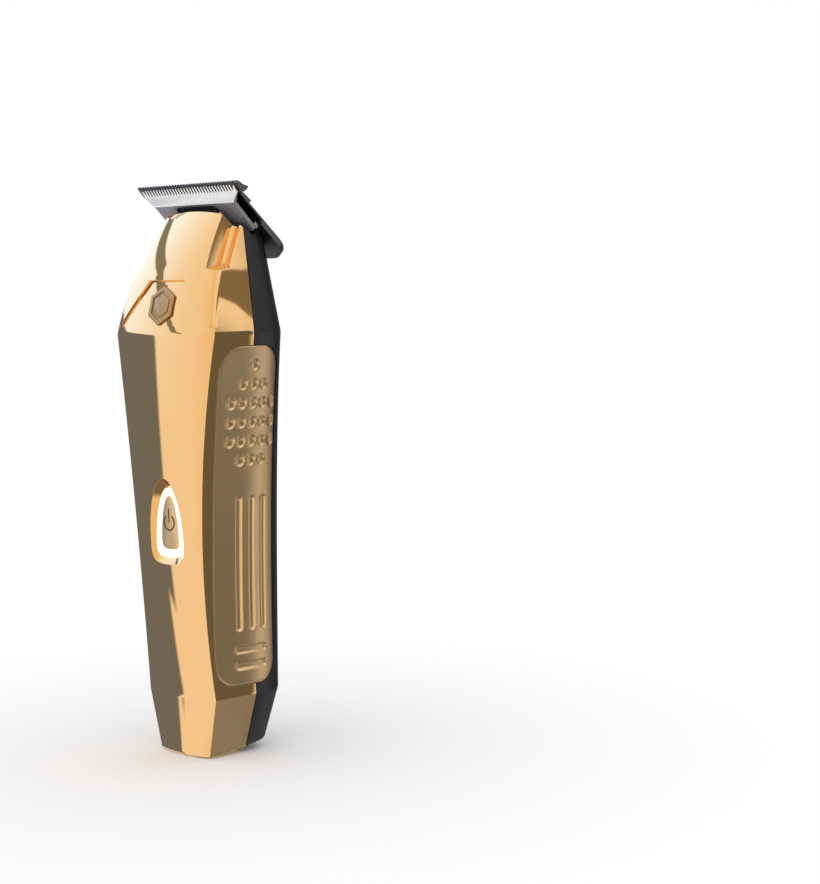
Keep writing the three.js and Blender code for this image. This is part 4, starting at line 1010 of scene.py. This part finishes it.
def ground_steel(name):
    """The moving blade's steel: bright where it is ground to a wedge, dull grey on the plate behind."""
    surface = material(name, (0.80, 0.80, 0.81), (0.90, 0.90, 0.91), (0.24, 0.32), **GROUND, bump=0.03)
    nodes, links = surface.node_tree.nodes, surface.node_tree.links
    shader = nodes["Principled BSDF"]
    place = nodes.new("ShaderNodeTexCoord")
    parts = nodes.new("ShaderNodeSeparateXYZ")
    links.new(place.outputs["Object"], parts.inputs[0])
    up_slope = maths(nodes, links, "SUBTRACT", parts.outputs["Z"], parts.outputs["Y"])
    edge = (TIP_Z - TIP_Y - MOVING["ground"] / ROOT_HALF) * MM
    ground = ranged(nodes, links, up_slope, 0, 1, edge - 0.2 * MM, edge + 0.1 * MM)
    tone = colour_mix(nodes, PLATE_GREY, PLATE_GREY)
    links.new(ground, tone.inputs["Factor"])
    links.new(shader.inputs["Base Color"].links[0].from_socket, tone.inputs["B"])
    links.new(tone.outputs["Result"], shader.inputs["Base Color"])
    links.new(ranged(nodes, links, ground, 0.35, 0.9, 0, 1), shader.inputs["Metallic"])
    return surface


def lit_white(name):
    """The light ring's translucent white, lit from behind."""
    surface = material(name, (0.86, 0.86, 0.85), (0.95, 0.95, 0.93), (0.2, 0.3))
    nodes, links = surface.node_tree.nodes, surface.node_tree.links
    shader = nodes["Principled BSDF"]
    shader.inputs["Emission Color"].default_value = (1, 1, 1, 1)
    glow = link_noise(nodes, links, 120)
    links.new(ranged(nodes, links, glow.outputs["Fac"], 1.1, 1.3), shader.inputs["Emission Strength"])
    return surface


def make_materials():
    """One finished material for each material slot of the record, and a few for finer pieces."""
    paint = {name: material(name, *tones, **more) for name, (*tones, more) in FINISHES.items()}
    paint["clear_white"] = lit_white("clear_white")
    paint["bright_steel"] = ground_steel("bright_steel")
    return paint


# ---------------------------------------------------------------- putting the pieces in


def fit(piece, name, body, slot, paint, node=None, finish=None):
    """Names a finished piece, paints it with its slot's material or a given finish, ties it to its body and
    hides the CAD node it replaces.
    """
    piece.name = name
    piece.data.name = name
    piece.data.materials.clear()
    piece.data.materials.append(paint[finish or slot])
    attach(piece, body)
    if node:
        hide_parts(node)


def add_shells(paint):
    """Both housing halves, with the smooth outer form's normals on their outer faces."""
    outside = smoothed(outer_body("outside"), 30)
    for build, name, slot in ((front_shell, "front_shell", "gold_chrome"),
                              (rear_shell, "rear_shell", "black_satin")):
        shell = take_normals(smoothed(build(outside), 30), outside)
        fit(shell, name + "_skin", "housing", slot, paint, name)
    discard(outside)


def add_housing_pieces(paint):
    """Everything seen on the housing apart from its shells."""
    for side, name in ((1, "right"), (-1, "left")):
        pad, screw = "grip_" + name, "blade_screw_" + name
        fit(smoothed(grip(side), 40), pad + "_pad", "housing", "tan_satin", paint, pad)
        head = smoothed(blade_screw(side))
        fit(head, screw + "_head", "housing", "dark_steel", paint, screw, "screw_steel")
    for name in HOUSING_SCREWS:
        fit(smoothed(housing_screw(name)), name + "_head", "housing", "zinc_steel", paint, name)
    fit(smoothed(light_ring()), "light_ring", "housing", "clear_white", paint, "button_light_ring")
    fit(smoothed(fixed_blade(), 25), "fixed_comb", "housing", "dark_steel", paint, "fixed_blade")
    fit(smoothed(inlet_shell()), "inlet_socket", "housing", "zinc_steel", paint, "inlet_shell")
    fit(smoothed(chest_badge()), "chest_hexagon", "housing", "bronze", paint, "chest_badge")
    fit(smoothed(rear_badge()), "rear_hexagon", "housing", "black_plastic", paint, "rear_badge")


def add_moving_pieces(paint):
    """The button with its sign, and the moving blade."""
    fit(smoothed(power_button()), "button_cap", "button", "tan_satin", paint, "power_button")
    fit(smoothed(power_icon()), "button_sign", "button", "tan_satin", paint, finish="icon_ink")
    fit(smoothed(moving_blade(), 25), "moving_comb", "cutter", "bright_steel", paint, "moving_blade")


def paint_nodes(paint):
    """Gives every CAD node that stays its slot's finished material; the charge light's pipe is dark."""
    for name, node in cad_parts.items():
        for index, old in enumerate(node.data.materials):
            finish = "smoked" if name == "light_pipe" else old.name.split(".")[0]
            node.data.materials[index] = paint[finish]


# ---------------------------------------------------------------- camera, floor and light

CAMERA = {"azimuth": 49.15, "elevation": 5.72, "roll": -1.94, "distance": 470.9, "lens": 77.09}
AIM = (0.2276, 0.02885)  # the frame's middle, right of and above the object, as shares of its long side
FLOOR_FADE = (0.03, 0.14)  # where the floor's fading into the white background starts and ends, in metres


def add_camera():
    """The camera at the picture's viewing angle, with the object left of the frame's middle."""
    data = bpy.data.cameras.new("camera")
    data.lens, data.sensor_width = CAMERA["lens"], 36
    data.clip_start, data.clip_end = 0.01, 20
    camera = bpy.data.objects.new("camera", data)
    bpy.context.scene.collection.objects.link(camera)
    a, e, r = (math.radians(CAMERA[key]) for key in ("azimuth", "elevation", "roll"))
    back = Vector((math.sin(a) * math.cos(e), -math.cos(a) * math.cos(e), math.sin(e)))
    level = Vector((math.cos(a), math.sin(a), 0))
    upright = back.cross(level)
    right = level * math.cos(r) + upright * math.sin(r)
    up = upright * math.cos(r) - level * math.sin(r)
    focal = CAMERA["lens"] / data.sensor_width
    away = (back - right * (AIM[0] / focal) - up * (AIM[1] / focal)).normalized()
    right = (right - away * right.dot(away)).normalized()
    turn = Matrix((right, away.cross(right), away)).transposed()
    middle = Vector((0, 0, LENGTH / 2)) * MM
    camera.matrix_world = Matrix.Translation(middle + back * CAMERA["distance"] * MM) @ turn.to_4x4()
    bpy.context.scene.camera = camera


def add_floor():
    """A plain pale floor that runs into the white background away from the object."""
    corners, radius, below = 96, 1600, 0.02
    angles = np.linspace(0, 2 * math.pi, corners, endpoint=False)
    rim = np.stack([radius * np.cos(angles), radius * np.sin(angles)], axis=1)
    floor = new_object("floor", along("z", rim, -below), [tuple(range(corners))])
    surface = bpy.data.materials.new("floor")
    surface.use_nodes = True
    nodes, links = surface.node_tree.nodes, surface.node_tree.links
    shader = nodes["Principled BSDF"]
    shader.inputs["Base Color"].default_value = (0.92, 0.92, 0.92, 1)
    shader.inputs["Roughness"].default_value = 0.9
    shader.inputs["Specular IOR Level"].default_value = 0.0
    glow = nodes.new("ShaderNodeEmission")
    place = nodes.new("ShaderNodeTexCoord")
    reach = nodes.new("ShaderNodeVectorMath")
    reach.operation = "LENGTH"
    links.new(place.outputs["Object"], reach.inputs[0])
    blend = nodes.new("ShaderNodeMixShader")
    links.new(ranged(nodes, links, reach.outputs["Value"], 0, 1, *FLOOR_FADE), blend.inputs["Fac"])
    links.new(shader.outputs["BSDF"], blend.inputs[1])
    links.new(glow.outputs["Emission"], blend.inputs[2])
    links.new(blend.outputs["Shader"], nodes["Material Output"].inputs["Surface"])
    floor.data.materials.append(surface)
    floor.visible_glossy = False


# The studio: a white room whose panels are seen in reflections and as light. A panel has its middle
# (azimuth and elevation; azimuth 0 is in front of the object and 90 at its right), its width and
# height, how far its azimuth shifts for each degree up (slant), how far it rises for each degree
# to the right (tilt), the softness of its sides and of its top and bottom, all in degrees, and its light.
PANELS = [
    {"at": (-101, 45), "size": (78, 94), "soft": (62, 8), "light": (1.08, 1.6, 2.6)},
    {"at": (12, 5), "size": (78, 110), "soft": (16, 30), "light": (0.95, 0.84, 0.62)},
    {"at": (-82, -12.5), "size": (60, 23), "slant": -0.3, "soft": (2, 2), "light": (0.18, 0.23, 0.325)},
    {"at": (-74.5, 2), "size": (43, 16), "slant": -0.3, "tilt": -0.32, "soft": (2, 1),
     "light": (0.18, 0.23, 0.325)},
    {"at": (-83, 26.6), "size": (36, 4.0), "soft": (2, 0.8), "light": (0.26, 0.30, 0.32)},
    {"at": (-60.5, 23), "size": (16, 4.8), "tilt": -0.4, "soft": (1, 0.8), "light": (0.26, 0.30, 0.32)},
    {"at": (-48, 16.1), "size": (18, 3.0), "tilt": -0.75, "soft": (1, 0.8), "light": (0.26, 0.30, 0.32)},
    {"at": (92, -4), "size": (62, 45), "soft": (5, 4), "light": (0.15, 0.158, 0.138)},
    {"at": (118, -36), "size": (44, 28), "soft": (10, 5), "light": (0.28, 0.31, 0.36)},
    {"at": (120, 21.55), "size": (40, 1.85), "tilt": -0.15, "soft": (4, 0.15), "light": (0.25, 0.23, 0.17)},
    {"at": (134, 11), "size": (12, 10), "soft": (2, 3), "light": (0.25, 0.23, 0.17)},
    {"at": (180, 5), "size": (76, 80), "soft": (50, 40), "light": (0.12, 0.12, 0.13)},
    {"at": (0, -90), "size": (720, 90), "soft": (1, 12), "light": (0.22, 0.20, 0.17)},
    {"at": (-108, -42), "size": (36, 16), "soft": (20, 8), "light": (0.4, 0.38, 0.46)},
]


def window(nodes, links, away, width, softness):
    """1 where an angle in degrees lies within half of width of zero, falling to 0 over the softness."""
    fall = nodes.new("ShaderNodeMapRange")
    fall.interpolation_type = "SMOOTHSTEP"
    fall.inputs["From Min"].default_value = (width + softness) / 2
    fall.inputs["From Max"].default_value = (width - softness) / 2
    links.new(maths(nodes, links, "ABSOLUTE", away), fall.inputs["Value"])
    return fall.outputs["Result"]


def panel_mask(nodes, links, azimuth, elevation, panel):
    """1 inside a panel of the studio and 0 outside it."""
    wrap = nodes.new("ShaderNodeMath")
    wrap.operation = "WRAP"
    wrap.inputs[1].default_value, wrap.inputs[2].default_value = 180, -180
    links.new(maths(nodes, links, "SUBTRACT", azimuth, panel["at"][0]), wrap.inputs[0])
    across = wrap.outputs[0]
    above = maths(nodes, links, "SUBTRACT", elevation, panel["at"][1])
    slanted = maths(nodes, links, "SUBTRACT", across,
                    maths(nodes, links, "MULTIPLY", above, panel.get("slant", 0.0)))
    tilted = maths(nodes, links, "SUBTRACT", above,
                   maths(nodes, links, "MULTIPLY", across, panel.get("tilt", 0.0)))
    sides = window(nodes, links, slanted, panel["size"][0], panel["soft"][0])
    ends = window(nodes, links, tilted, panel["size"][1], panel["soft"][1])
    return maths(nodes, links, "MULTIPLY", sides, ends)


def studio_light(nodes, links):
    """The studio's light in every direction, as a colour."""
    place = nodes.new("ShaderNodeTexCoord")
    parts = nodes.new("ShaderNodeSeparateXYZ")
    links.new(place.outputs["Generated"], parts.inputs[0])
    behind = maths(nodes, links, "MULTIPLY", parts.outputs["Y"], -1.0)
    turned_by = maths(nodes, links, "ARCTAN2", parts.outputs["X"], behind)
    azimuth = maths(nodes, links, "DEGREES", turned_by)
    elevation = maths(nodes, links, "DEGREES", maths(nodes, links, "ARCSINE", parts.outputs["Z"]))
    colour = None
    for panel in PANELS:
        paint = colour_mix(nodes, (1, 1, 1), panel["light"])
        if colour:
            links.new(colour, paint.inputs["A"])
        links.new(panel_mask(nodes, links, azimuth, elevation, panel), paint.inputs["Factor"])
        colour = paint.outputs["Result"]
    return colour


def add_light():
    """A plain white room, in which glossy surfaces see the studio's panels."""
    world = bpy.data.worlds.new("studio")
    bpy.context.scene.world = world
    world.use_nodes = True
    nodes, links = world.node_tree.nodes, world.node_tree.links
    studio = nodes["Background"]
    links.new(studio_light(nodes, links), studio.inputs["Color"])
    white = nodes.new("ShaderNodeBackground")
    white.inputs["Color"].default_value = (1, 1, 1, 1)
    seen = nodes.new("ShaderNodeLightPath")
    choose = nodes.new("ShaderNodeMixShader")
    links.new(seen.outputs["Is Glossy Ray"], choose.inputs["Fac"])
    links.new(white.outputs["Background"], choose.inputs[1])
    links.new(studio.outputs["Background"], choose.inputs[2])
    links.new(choose.outputs["Shader"], nodes["World Output"].inputs["Surface"])
    world.cycles.sampling_method = "NONE"  # the room is even, so surfaces find it by themselves
    bpy.context.scene.view_settings.view_transform = "Standard"


# ---------------------------------------------------------------- the scene

add_camera()
add_floor()
add_light()
surfaces = make_materials()
add_shells(surfaces)
add_housing_pieces(surfaces)
add_moving_pieces(surfaces)
paint_nodes(surfaces)
